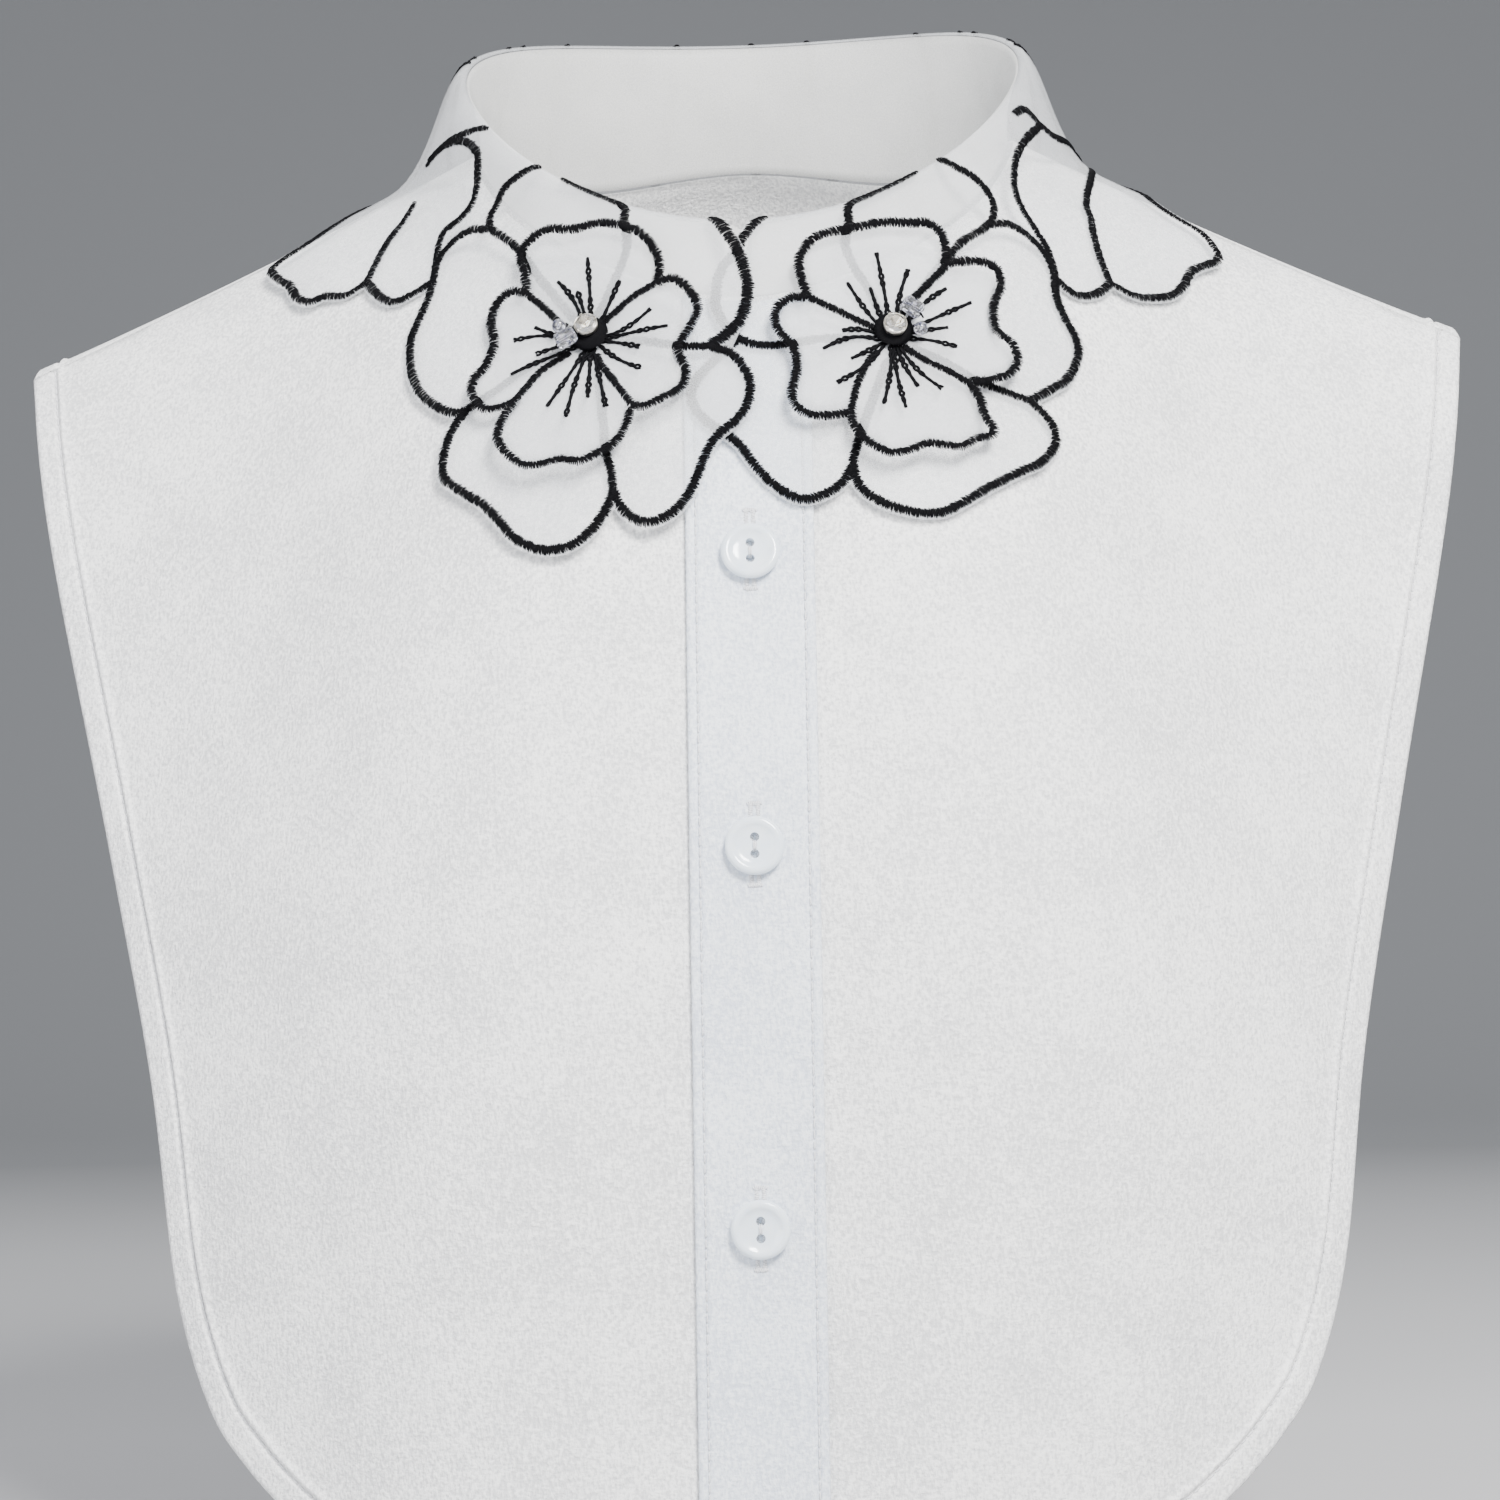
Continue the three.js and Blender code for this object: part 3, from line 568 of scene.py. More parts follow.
def makeFront(name, sign):
    top, side, hem, middle = frontCurves(sign)
    share = np.linspace(0, 1, 80)
    edge = edgeLine(side, hem)
    centre = np.array([sign * 90, -200]) * mm
    return clothSheet(name, top(share), edge, middle(share[::-1]), centre, -1), edge


def makeBack():
    top, left, right = backCurves()
    edge = np.vstack([edgeLine(*right), edgeLine(*left)[::-1][1:]])
    top = top(np.linspace(0, 1, 130))
    return clothSheet("back_cloth", top, edge, top[[-1, 0]], np.array([0, 150 * mm]), 1), edge


def makePlacket():
    half = bib["placketWidth"] / 2

    def surface(u, v):
        x = half - 2 * half * u
        start = neckSeam(np.arcsin(x / halfNeck), -bib["seamGap"])[:, 1]
        end = onPattern(x, downAtHeight(x, -form["frontLength"] + x * 0, -1))[:, 1]
        at = np.stack([x, start + (end - start) * v], -1)
        inset = half - np.abs(x)
        fromRow = inset - bib["placketRow"]
        relief = (-bib["edgeDrop"] * (1 - smoothStep(inset, 0, bib["placketEdge"]))
                  - bib["placketGroove"] * np.exp(-(fromRow / bib["grooveWidth"]) ** 2))
        puckers = bib["pucker"] * np.sin(at[:, 1] / bib["puckerStep"])
        puckers = puckers * np.exp(-(fromRow / bib["puckerWidth"]) ** 2)
        return overPattern(at, bib["placketTop"] + relief + puckers + 0.2 * clothWaves(at))

    us = np.concatenate([np.linspace(0, 0.13, 14), np.linspace(0.13, 0.87, 16)[1:-1],
                         np.linspace(0.87, 1, 14)])     # closer together at the two edges
    obj = gridSheet("placket_cloth", us, np.linspace(0, 1, 420), surface)
    faceOutward(obj, lambda c: np.tile([0, -1, 0.2], (len(c), 1)))
    return thicken(obj, bib["placketThickness"])


frontLeft, frontLeftEdge = makeFront("front_left_cloth", -1)
frontRight, frontRightEdge = makeFront("front_right_cloth", 1)
back, backEdge = makeBack()
placket = makePlacket()
print("shirt front, back and placket laid on the form")


# The neck band inside the collar
neckBand = {
    "clearance": 0.5 * mm,        # from the seam's gap in to the band's foot
    "dip": 1.6 * mm,              # of its top edge at the front opening
    "bulge": 1.2 * mm,
    "wrinkle": 0.25 * mm,
    "thickness": 0.5 * mm,
}


def makeBand():
    opening = bib["seamGap"] / (collar["foldDepth"] / 2)

    def surface(u, v):
        turn = -opening + (2 * opening - 2 * math.pi) * u
        seam = neckSeam(turn, bib["seamGap"] + neckBand["clearance"])
        foot = overPattern(seam, 0.0)
        fold = foldPoint(turn)
        inward = -unit(fold * np.array([1, 1, 0]))
        head = fold + inward * collar["foldRoll"]
        head[:, 2] -= collar["foldRoll"] / 2
        fromFront = np.minimum(np.abs(np.sin(turn)), 1) + (np.cos(turn) < 0)
        head[:, 2] -= neckBand["dip"] * np.exp(-(fromFront / 0.03) ** 2)
        arch = np.sin(v * math.pi)
        wrinkle = neckBand["wrinkle"] * np.sin(turn * 90) * np.exp(-(fromFront / 0.2) ** 2)
        return head + (foot - head) * v[:, None] + inward * (arch * (neckBand["bulge"] + wrinkle))[:, None]

    obj = gridSheet("neck_band_cloth", np.linspace(0, 1, 260), np.linspace(0, 1, 16), surface)
    faceOutward(obj, lambda c: -c * np.array([1, 1, 0]))
    return thicken(obj, neckBand["thickness"], offset=1.0)


band = makeBand()


# The collar leaf as one unrolled plane: along runs round the neck from the middle of the back, to the
# left of it negative, and out runs from the fold to the petals' tips
plane = {
    "radius": 80 * mm,            # turns are unrolled at this radius
    "ripple": 0.45 * mm,          # the petals' unevenness
    "margin": 0.5 * mm,           # sheer cloth left outside the embroidered edge
    "spacing": 1.5 * mm,          # between the mesh's points
    "thickness": 0.22 * mm,
    "foldInside": -0.11 * collar["leafReach"],     # where the cloth ends inside the fold
}


def toPlane(turn, reach):
    # turns start in the middle of the back, and run a little past the middle of the front
    turn = np.asarray(turn, float)
    return np.stack([turn * plane["radius"], np.asarray(reach, float) * collar["leafReach"]], -1)


leafTurns = np.radians(np.arange(-191, 191.25, 0.5))
leafReaches = np.arange(-0.12, 3.2, 0.04)


def leafTable():
    left = leafTurns < 0
    turns = np.where(left, -math.pi, math.pi) - leafTurns
    points = leafRows(turns, leafReaches)
    reach = leafReaches[:, None]
    along = unit(np.gradient(points, axis=0))
    out = unit(points * np.array([1, 1, 0]))
    across = np.stack([-out[..., 1], out[..., 0], out[..., 0] * 0], -1)
    outward = unit(np.cross(along, across))
    edge = collar["crossing"]
    raised = (1 - smoothStep(np.abs(turns), edge, edge * 2.5)) * smoothStep(reach, 0, 0.4) * left
    tip = np.maximum(0, reach - 1) / (collar["tipReach"] - 1)
    loose = smoothStep(reach, 0.7, 2.0)
    wave = np.sin(leafTurns * 17 + 1.1) * np.cos(reach * 2.1) + 0.6 * np.sin(leafTurns * 39 + reach * 1.7)
    height = raised * collar["crossingRise"] + collar["lift"] * tip * tip + plane["ripple"] * wave * loose
    return points + outward * height[..., None]


leafPoints = leafTable()


def cubicWeights(t):
    return np.stack([-0.5 * t + t * t - 0.5 * t ** 3, 1 - 2.5 * t * t + 1.5 * t ** 3,
                     0.5 * t + 2 * t * t - 1.5 * t ** 3, -0.5 * t * t + 0.5 * t ** 3])


def leafSurface(at):
    # looks a place up among the leaf's points, smoothly
    a = (at[:, 0] / plane["radius"] - leafTurns[0]) / (leafTurns[1] - leafTurns[0])
    b = (at[:, 1] / collar["leafReach"] - leafReaches[0]) / (leafReaches[1] - leafReaches[0])
    i = np.clip(a.astype(int), 1, len(leafTurns) - 3)
    j = np.clip(b.astype(int), 1, len(leafReaches) - 3)
    wa, wb = cubicWeights(a - i), cubicWeights(b - j)
    point = 0
    for k in range(4):
        for m in range(4):
            point = point + (wa[k] * wb[m])[:, None] * leafPoints[j + m - 1, i + k - 1]
    return point


def outwardOn(surface, at):
    step = 0.3 * mm
    along = surface(at + [step, 0]) - surface(at - [step, 0])
    out = surface(at + [0, step]) - surface(at - [0, step])
    return unit(np.cross(along, out)), along / (2 * step), out / (2 * step)


def seenOn(surface, pixels, samples):
    # the places on the surface that show at these pixels of the photograph
    pixels = np.asarray(pixels, float)
    places, shown = samples
    at = places[[int(np.argmin(((shown - p) ** 2).sum(1))) for p in pixels]].copy()
    step = 0.05 * mm
    for _ in range(8):
        miss = pixels - toPhoto(surface(at))
        a = (toPhoto(surface(at + [step, 0])) - toPhoto(surface(at - [step, 0]))) / (2 * step)
        b = (toPhoto(surface(at + [0, step])) - toPhoto(surface(at - [0, step]))) / (2 * step)
        size = a[:, 0] * b[:, 1] - a[:, 1] * b[:, 0]
        size = np.where(np.abs(size) < 4e5, np.sign(size + 1e-9) * 4e5, size)
        move = np.stack([miss[:, 0] * b[:, 1] - miss[:, 1] * b[:, 0],
                         a[:, 0] * miss[:, 1] - a[:, 1] * miss[:, 0]], -1) / size[:, None]
        at = at + np.clip(move, -2 * mm, 2 * mm)
        at[:, 1] = np.maximum(at[:, 1], 0)
    return at


def planeSamples(surface, firstTurn, lastTurn):
    turns = np.radians(np.arange(firstTurn, lastTurn, 0.75))
    grid = np.stack(np.meshgrid(turns, np.arange(0, 3.1, 0.05)), -1).reshape(-1, 2)
    places = toPlane(grid[:, 0], grid[:, 1])
    return places, toPhoto(surface(places))


leftSamples = planeSamples(leafSurface, -190, -80)
rightSamples = planeSamples(leafSurface, 80, 190)

# The embroidery, drawn over the photograph in its pixels. Each list is one petal's edge or one line.
leftEdge = [
    [(711, 211), (722, 226), (734, 244), (743, 264), (748, 290), (742, 316), (730, 331), (709, 346)],
    [(709, 346), (728, 352), (740, 362), (749, 378), (749, 399), (738, 418), (722, 431), (710, 445),
     (699, 471), (688, 495), (670, 514), (649, 522), (633, 518), (622, 508), (613, 490)],
    [(613, 490), (607, 507), (595, 526), (574, 544), (552, 550), (531, 547), (512, 536), (497, 518),
     (481, 503), (461, 491), (445, 479), (443, 462), (448, 440), (458, 421), (467, 410)],
    [(467, 410), (453, 413), (433, 404), (418, 389), (411, 365), (411, 341), (419, 320), (428, 300),
     (434, 280)],
    [(434, 280), (411, 295), (394, 302), (379, 296), (367, 282)],
    [(367, 282), (347, 295), (326, 296), (311, 302), (297, 298), (290, 286), (279, 280), (270, 271)],
]
rightEdge = [
    [(765, 212), (743, 238), (735, 253), (722, 268), (716, 290), (717, 310), (728, 329), (738, 338)],
    [(738, 338), (720, 355), (704, 371), (692, 387), (693, 404), (706, 421), (723, 432), (740, 445),
     (754, 464), (770, 481), (790, 495), (808, 499), (831, 491), (844, 480), (853, 464)],
    [(853, 464), (858, 483), (873, 497), (898, 508), (924, 513), (946, 511), (969, 499), (997, 483),
     (1022, 471), (1044, 460), (1056, 441), (1050, 421), (1030, 401)],
    [(1030, 401), (1050, 390), (1067, 379), (1078, 356), (1075, 337), (1064, 317), (1056, 295),
     (1055, 277)],
    [(1055, 277), (1067, 289), (1080, 296), (1098, 293), (1110, 283)],
    [(1110, 283), (1132, 295), (1151, 298), (1172, 295), (1184, 285), (1191, 272), (1203, 266),
     (1216, 262), (1219, 255)],
]
leftLines = [
    [(543, 168), (526, 171), (504, 189), (497, 204), (490, 218), (492, 229), (504, 238), (519, 250),
     (545, 285), (575, 320)],
    [(613, 187), (619, 204), (624, 221), (627, 243), (622, 264), (608, 296), (597, 318)],
    [(490, 229), (469, 231), (450, 245), (438, 262), (434, 280)],
    [(427, 166), (440, 150), (461, 141), (476, 150), (478, 171), (474, 200), (461, 218), (444, 232),
     (438, 250), (434, 280)],
    [(367, 282), (383, 250), (404, 221), (415, 203)],
    [(488, 129), (469, 132), (447, 143), (429, 161)],
    [(709, 346), (683, 346), (633, 340), (610, 337)],
    [(613, 490), (611, 471), (606, 450), (602, 410), (597, 365)],
    [(467, 410), (485, 398), (525, 370), (565, 348)],
]
rightLines = [
    [(1014, 114), (1023, 109), (1031, 115), (1040, 125), (1056, 138), (1073, 147), (1080, 158)],
    [(1040, 125), (1027, 138), (1017, 155), (1014, 172), (1015, 191), (1023, 210), (1036, 231),
     (1048, 251), (1055, 277)],
    [(1080, 158), (1085, 176), (1087, 193), (1091, 220), (1097, 249), (1110, 283)],
    [(865, 185), (854, 202), (849, 222), (845, 244), (854, 267), (868, 289), (884, 318)],
    [(935, 161), (954, 166), (976, 179), (990, 196), (994, 210), (988, 225), (963, 241), (949, 256),
     (925, 285), (903, 318)],
    [(988, 225), (1008, 224), (1028, 236), (1044, 253), (1053, 272), (1056, 295)],
    [(738, 338), (758, 345), (785, 344), (820, 339), (866, 337)],
    [(853, 464), (856, 448), (864, 425), (878, 385), (888, 360)],
    [(1030, 401), (1008, 393), (980, 382), (945, 362), (912, 348)],
]
# Behind the shoulders the petals go on plainly: turns in degrees, and reaches at even steps
backPetals = [
    (96, 130, [1.3, 1.75, 1.85, 1.65, 1.35, 1.05]),
    (130, 180, [1.05, 1.17, 1.27, 1.28, 1.2, 1.0]),
]
# the way from the last drawn petal to the first of them, along the top of the shoulder
leftShoulder = [(84.2, 2.66), (85.1, 2.5), (85.6, 2.2), (86.4, 1.9), (88, 1.65), (91, 1.5),
                (94, 1.36), (96, 1.3)]
rightShoulder = [(84.5, 2.42), (85.2, 2.2), (86, 1.95), (87.5, 1.74), (90, 1.58), (93, 1.42), (96, 1.3)]
# lines behind: from the fold down to the valleys between the petals, and smaller petals at the fold
backLines = [
    [(101, 0), (99, 0.3), (97, 0.75), (96, 1.3)],
    [(127, 0), (126.5, 0.35), (127.5, 0.75), (130, 1.05)],
    [(178, 0), (177.4, 0.35), (178.5, 0.7), (180, 1.0)],
    [(106, 0), (106, 0.3), (109, 0.56), (114, 0.66), (119, 0.58), (122, 0.32), (122, 0)],
    [(140, 0), (140.5, 0.35), (145, 0.62), (154, 0.74), (162, 0.64), (166, 0.36), (166, 0)],
]


def drawnLine(surface, pixels, samples):
    # one smooth line through the places that show at the drawn points
    return curveThrough(seenOn(surface, pixels, samples), 8)


def backEdgeLine():
    # along the back petals, from the right shoulder round to the left one
    turns, reaches = [], []
    for first, last, reach in backPetals:
        share = np.linspace(0, 1, 40)
        turns.append(first + (last - first) * share)
        reaches.append(smoothThrough(np.linspace(0, 1, len(reach)), reach, share))
    turns, reaches = np.concatenate(turns), np.concatenate(reaches)
    right = toPlane(math.pi - np.radians(turns), reaches)
    left = right[::-1] * [-1, 1]
    return np.vstack([right, left])


def shoulderWay(rows, side):
    rows = np.array(rows)
    return toPlane(side * (math.pi - np.radians(rows[:, 0])), rows[:, 1])


rightEdges = [drawnLine(leafSurface, petal, rightSamples) for petal in rightEdge]
leftEdges = [drawnLine(leafSurface, petal, leftSamples) for petal in leftEdge]
overRight = curveThrough(np.vstack([rightEdges[-1][-1:], shoulderWay(rightShoulder, 1)]), 8)
overLeft = curveThrough(np.vstack([leftEdges[-1][-1:], shoulderWay(leftShoulder, -1)]), 8)
behind = np.vstack([overRight, backEdgeLine()[1:-1], overLeft[::-1]])
leafEdge = np.vstack(rightEdges + [behind] + [line[::-1] for line in leftEdges[::-1]])
print("embroidery placed on the collar")


# Cutting a sheet to a drawn edge
def acrossLine(surface, at):
    # at each point of a line: the surface's normal, and the way on the plane that is 1 m to its right
    normal, along, out = outwardOn(surface, at)
    step = np.gradient(at, axis=0)
    tangent = unit(step[:, :1] * along + step[:, 1:] * out)
    right = np.cross(tangent, normal)
    aa, ao, oo = (along * along).sum(-1), (along * out).sum(-1), (out * out).sum(-1)
    ra, ro = (right * along).sum(-1), (right * out).sum(-1)
    size = aa * oo - ao * ao
    way = np.stack([(ra * oo - ro * ao) / size, (ro * aa - ra * ao) / size], -1)
    return normal, tangent, right, way


def evenly(surface, line, step):
    # points along the line at even steps over the surface
    way = wayAlong(surface(line))
    count = max(3, int(round(way[-1] / step)) + 1)
    at = np.linspace(0, way[-1], count)
    return np.stack([np.interp(at, way, line[:, k]) for k in range(2)], -1)


def widened(surface, line, amount):
    # the line moved to its right, without the loops that this makes in the notches
    fine = evenly(surface, line, 0.4 * mm)
    way = acrossLine(surface, fine)[3]
    moved = fine + way * amount
    gap = nearest(surface(moved), surface(fine))
    return moved[gap > 0.96 * amount]


stroke = {
    "outline": 2.5 * mm,          # width of the satin stitch along the petals' edges
    "front": 3.1 * mm,            # and along the collar's left front edge
    "line": 2.3 * mm,             # and of the lines inside
    "small": 2.4 * mm,            # and on the two small flowers
    "back": 2.2 * mm,
    "stamenThread": 0.4 * mm,
    "stamenCross": 1.9 * mm,      # from crossing to crossing of its two threads
    "stamenOpen": 0.52 * mm,
    "rise": 0.4 * mm,             # how far it stands up in its middle
    "pitch": 0.4 * mm,            # from stitch to stitch
    "thread": 0.23 * mm,
    "slant": 0.16 * mm,
    "uneven": 0.19,               # of each stitch's length
}

leafCut = widened(leafSurface, leafEdge, stroke["outline"] / 2 + plane["margin"])
leafCut[:, 1] = np.maximum(leafCut[:, 1], 0)
foldWay = np.linspace(leafCut[-1, 0], leafCut[0, 0], 330)
foldCut = np.stack([foldWay, np.full_like(foldWay, plane["foldInside"])], -1)
leaf = cutSheet("collar_organza", leafSurface, np.vstack([leafCut, foldCut]), plane["spacing"])
faceOutward(leaf, lambda c: c * np.array([1, 1, 0]) + [0, 0, 0.05])
thicken(leaf, plane["thickness"], offset=0)
print("collar cut:", len(leaf.data.vertices), "points")

# The two small flowers, drawn over the photograph: four petals each, the lines between them, the
# flower's middle and the ends of the stamens
leftFlower = {
    "middle": (592, 340),
    "petals": [
        [(526, 293), (525, 272), (520, 256), (530, 240), (548, 229), (572, 229), (597, 223), (617, 224),
         (638, 231), (653, 247), (660, 264), (657, 282)],
        [(657, 283), (672, 278), (688, 288), (698, 306), (693, 322), (682, 339), (678, 350), (686, 369),
         (682, 386), (663, 397), (645, 406), (632, 404)],
        [(631, 408), (625, 427), (614, 443), (597, 453), (579, 461), (560, 459), (540, 464), (521, 464),
         (504, 450), (497, 436), (503, 418), (513, 404)],
        [(515, 400), (504, 406), (484, 409), (473, 397), (473, 380), (486, 365), (494, 344), (491, 323),
         (496, 305), (510, 292), (526, 293)],
    ],
    "lines": [
        [(657, 282), (629, 300), (604, 322)],
        [(632, 404), (617, 385), (600, 363)],
        [(513, 403), (524, 390), (541, 371), (558, 360)],
        [(526, 293), (544, 308), (562, 325)],
    ],
    "stamens": [(588, 258), (558, 282), (578, 292), (620, 281), (651, 309), (668, 326), (640, 347),
                (641, 368), (606, 407), (588, 398), (566, 417), (547, 407), (511, 375), (536, 355),
                (514, 341), (535, 328)],
}
rightFlower = {
    "middle": (892, 338),
    "petals": [
        [(808, 297), (799, 267), (803, 250), (817, 236), (840, 230), (862, 226), (885, 222), (907, 223),
         (927, 223), (941, 233), (946, 250), (946, 264)],
        [(946, 264), (963, 261), (983, 262), (997, 269), (1001, 286), (994, 303), (994, 317), (997, 331),
         (1011, 342), (1018, 359), (1011, 373), (994, 379), (974, 382)],
        [(971, 384), (980, 398), (985, 415), (994, 429), (991, 436), (977, 438), (963, 446), (946, 445),
         (929, 443), (912, 449), (893, 453), (876, 446), (862, 436), (854, 424), (851, 412)],
        [(848, 412), (834, 415), (814, 415), (800, 410), (792, 396), (795, 379), (797, 362), (792, 345),
         (781, 334), (775, 320), (778, 306), (792, 297), (806, 297)],
    ],
    "lines": [
        [(946, 266), (929, 283), (912, 300), (904, 311)],
        [(971, 384), (952, 373), (929, 362), (910, 351)],
        [(851, 412), (854, 398), (859, 379), (870, 359)],
        [(808, 297), (828, 306), (851, 317), (870, 326)],
    ],
    "stamens": [(876, 253), (847, 283), (870, 288), (908, 270), (946, 289), (971, 303), (948, 328),
                (957, 347), (942, 389), (918, 387), (906, 408), (884, 404), (837, 383), (851, 359),
                (823, 349), (842, 331)],
}
flowerForm = {
    "radius": 28 * mm,
    "base": 1.15 * mm,            # over the middle of the leaf's cloth
    "lift": 2.2 * mm,
    "ripple": 0.35 * mm,
    "thickness": 0.2 * mm,
    "margin": 0.8 * plane["margin"],
    "spacing": 1.2 * mm,          # between the mesh's points
    "padRadius": 4.6 * mm,
    "padRise": 0.95 * mm,
    "padSink": 0.5 * mm,
    "padPitch": 0.33 * mm,        # from thread to thread
    "padThread": 0.26 * mm,
    "padTurn": {"left": 0.9, "right": -0.5},       # of the threads, in radians
}


def flowerOver(centre, seed):
    # the surface of a small flower, which lies on the leaf and lifts towards its petals' tips
    point = leafSurface(np.array([centre]))[0]

    def surface(at):
        under = leafSurface(at)
        normal = outwardOn(leafSurface, at)[0]
        gap = under - point
        away = np.linalg.norm(gap, axis=-1) / flowerForm["radius"]
        angle = np.arctan2(gap[:, 2], gap[:, 0])
        wave = np.sin(5 * angle + seed) + 0.6 * np.sin(9 * angle - 2 * seed + 5 * away)
        wave = wave * smoothStep(away, 0.3, 1)
        height = flowerForm["base"] + flowerForm["lift"] * away ** 2 + flowerForm["ripple"] * wave
        return under + normal * height[:, None]

    return surface


def seenSamples(surface, around):
    grid = np.stack(np.meshgrid(np.arange(-42, 42, 1.0), np.arange(-30, 34, 1.0)), -1).reshape(-1, 2) * mm
    places = around + grid
    places = places[(places[:, 1] > 0) & (places[:, 1] < 3.05 * collar["leafReach"])]
    return places, toPhoto(surface(places))


def makeFlower(side, drawing, samples, seed):
    centre = seenOn(leafSurface, [drawing["middle"]], samples)[0]
    surface = flowerOver(centre, seed)
    seen = seenSamples(surface, centre)
    petals = [drawnLine(surface, petal, seen) for petal in drawing["petals"]]
    edge = np.vstack(petals + [petals[0][:1]])
    a, b = edge[:-1] - centre, edge[1:] - centre
    if np.sum(a[:, 0] * b[:, 1] - a[:, 1] * b[:, 0]) > 0:     # the cut is to the right of the line
        edge = edge[::-1]
    cut = widened(surface, edge, stroke["small"] / 2 + flowerForm["margin"])
    obj = cutSheet("flower_organza_" + side, surface, cut, flowerForm["spacing"])
    faceOutward(obj, lambda c: np.tile([0, -1, 0.5], (len(c), 1)))
    thicken(obj, flowerForm["thickness"], offset=0)
    middle = seenOn(surface, [drawing["middle"]], seen)[0]
    lines = []
    for line in drawing["lines"]:
        at = seenOn(surface, line, seen)
        lines.append(curveThrough(np.vstack([at, at[-1:] + (middle - at[-1:]) * 0.35]), 8))
    ends = seenOn(surface, drawing["stamens"], seen)
    return {"obj": obj, "surface": surface, "petals": petals, "lines": lines, "middle": middle, "ends": ends}


flowers = {
    "left": makeFlower("left", leftFlower, leftSamples, 0.7),
    "right": makeFlower("right", rightFlower, rightSamples, 2.9),
}
print("small flowers cut")


# Thread: many short lengths of it as one mesh
def threadMesh(name, paths, ups, radius, flat=0.75):
    # paths and ups hold n threads of k points each; each thread has four sides and closed ends
    n, k, _ = paths.shape
    tangent = unit(np.gradient(paths, axis=1))
    side = unit(np.cross(tangent, ups))
    up = np.cross(side, tangent)
    radius = np.broadcast_to(radius, (n, k))[..., None]
    corners = [side, up * flat, -side, -up * flat]
    rings = np.stack([paths + corner * radius for corner in corners], 2)
    base = (np.arange(n) * k * 4)[:, None, None] + (np.arange(k - 1) * 4)[None, :, None]
    walls = []
    for c in range(4):
        d = (c + 1) % 4
        walls.append(np.stack([base + c, base + c + 4, base + d + 4, base + d], -1).reshape(-1, 4))
    first = (np.arange(n) * k * 4)[:, None] + np.arange(4)
    last = first[:, ::-1] + (k - 1) * 4
    faces = np.vstack(walls + [first, last])
    mesh = bpy.data.meshes.new(name)
    mesh.from_pydata(rings.reshape(-1, 3), [], faces)
    mesh.update()
    bm = bmesh.new()
    bm.from_mesh(mesh)
    bmesh.ops.recalc_face_normals(bm, faces=bm.faces)
    bm.to_mesh(mesh)
    bm.free()
    mesh.polygons.foreach_set("use_smooth", np.ones(len(mesh.polygons), bool))
    obj = bpy.data.objects.new(name, mesh)
    bpy.context.scene.collection.objects.link(obj)
    return obj


def satin(surface, line, width, lift):
    # stitches laid side by side across a line, each of them an arch of five points
    at = evenly(surface, line, stroke["pitch"])
    normal, tangent, right, _ = acrossLine(surface, at)
    middle = surface(at) + normal * lift
    n = len(at)
    share = np.linspace(-1, 1, 5)
    arch = np.sqrt(np.maximum(0, 1 - share ** 2))
    half = width / 2 * (1 + rng.uniform(-stroke["uneven"], stroke["uneven"], (n, 2)))
    # rounded ends
    fromEnd = np.minimum(np.arange(n), np.arange(n)[::-1]) * stroke["pitch"] / (width / 2)
    half *= np.sqrt(np.clip(1 - (1 - np.minimum(1, fromEnd + 0.25)) ** 2, 0.15, 1))[:, None]
    slant = stroke["slant"] + rng.uniform(-0.1, 0.1, n) * mm
    reach = np.where(share[None, :] < 0, half[:, :1], half[:, 1:]) * share
    rise = stroke["rise"] * rng.uniform(0.75, 1.15, n)
    paths = (middle[:, None] + right[:, None] * reach[..., None]
             + tangent[:, None] * (share * slant[:, None])[..., None]
             + normal[:, None] * (rise[:, None] * arch - 0.08 * mm)[..., None])
    ups = np.broadcast_to(normal[:, None], paths.shape)
    radius = stroke["thread"] * rng.uniform(0.88, 1.08, (n, 1)) * (0.62 + 0.38 * arch)
    return paths, ups, radius


def join(parts):
    return [np.concatenate(list(each)) for each in zip(*parts)]


def embroider(name, parts):
    paths, ups, radius = join(parts)
    return threadMesh(name, paths, ups, radius)


onLeaf = plane["thickness"] / 2


def leafStrokes(lines, width, samples):
    return [satin(leafSurface, drawnLine(leafSurface, line, samples), width, onLeaf) for line in lines]


rightStrokes = [satin(leafSurface, line, stroke["outline"], onLeaf) for line in rightEdges]
leftStrokes = [satin(leafSurface, leftEdges[0], stroke["front"], onLeaf)]
leftStrokes += [satin(leafSurface, line, stroke["outline"], onLeaf) for line in leftEdges[1:]]
edgeLeft = embroider("edge_stitches_left", leftStrokes)
edgeRight = embroider("edge_stitches_right", rightStrokes)
linesLeft = embroider("petal_lines_left", leafStrokes(leftLines, stroke["line"], leftSamples))
linesRight = embroider("petal_lines_right", leafStrokes(rightLines, stroke["line"], rightSamples))
backParts = [satin(leafSurface, behind, stroke["back"], onLeaf)]
for side in (-1, 1):
    for rows in backLines:
        if side > 0 or rows[-1][0] < 180:        # the middle one is there once
            line = curveThrough(shoulderWay(rows, side), 10)
            backParts.append(satin(leafSurface, line, stroke["back"], onLeaf))
edgeBack = embroider("edge_stitches_back", backParts)
print("collar embroidered")


# The small flowers' edges, stamens and pads
def flowerStitches(side):
    flower = flowers[side]
    surface = flower["surface"]
    lift = flowerForm["thickness"] / 2
    parts = [satin(surface, line, stroke["small"], lift) for line in flower["petals"]]
    parts += [satin(surface, line, stroke["small"] * 0.85, lift) for line in flower["lines"]]
    return embroider("flower_stitches_" + side, parts)


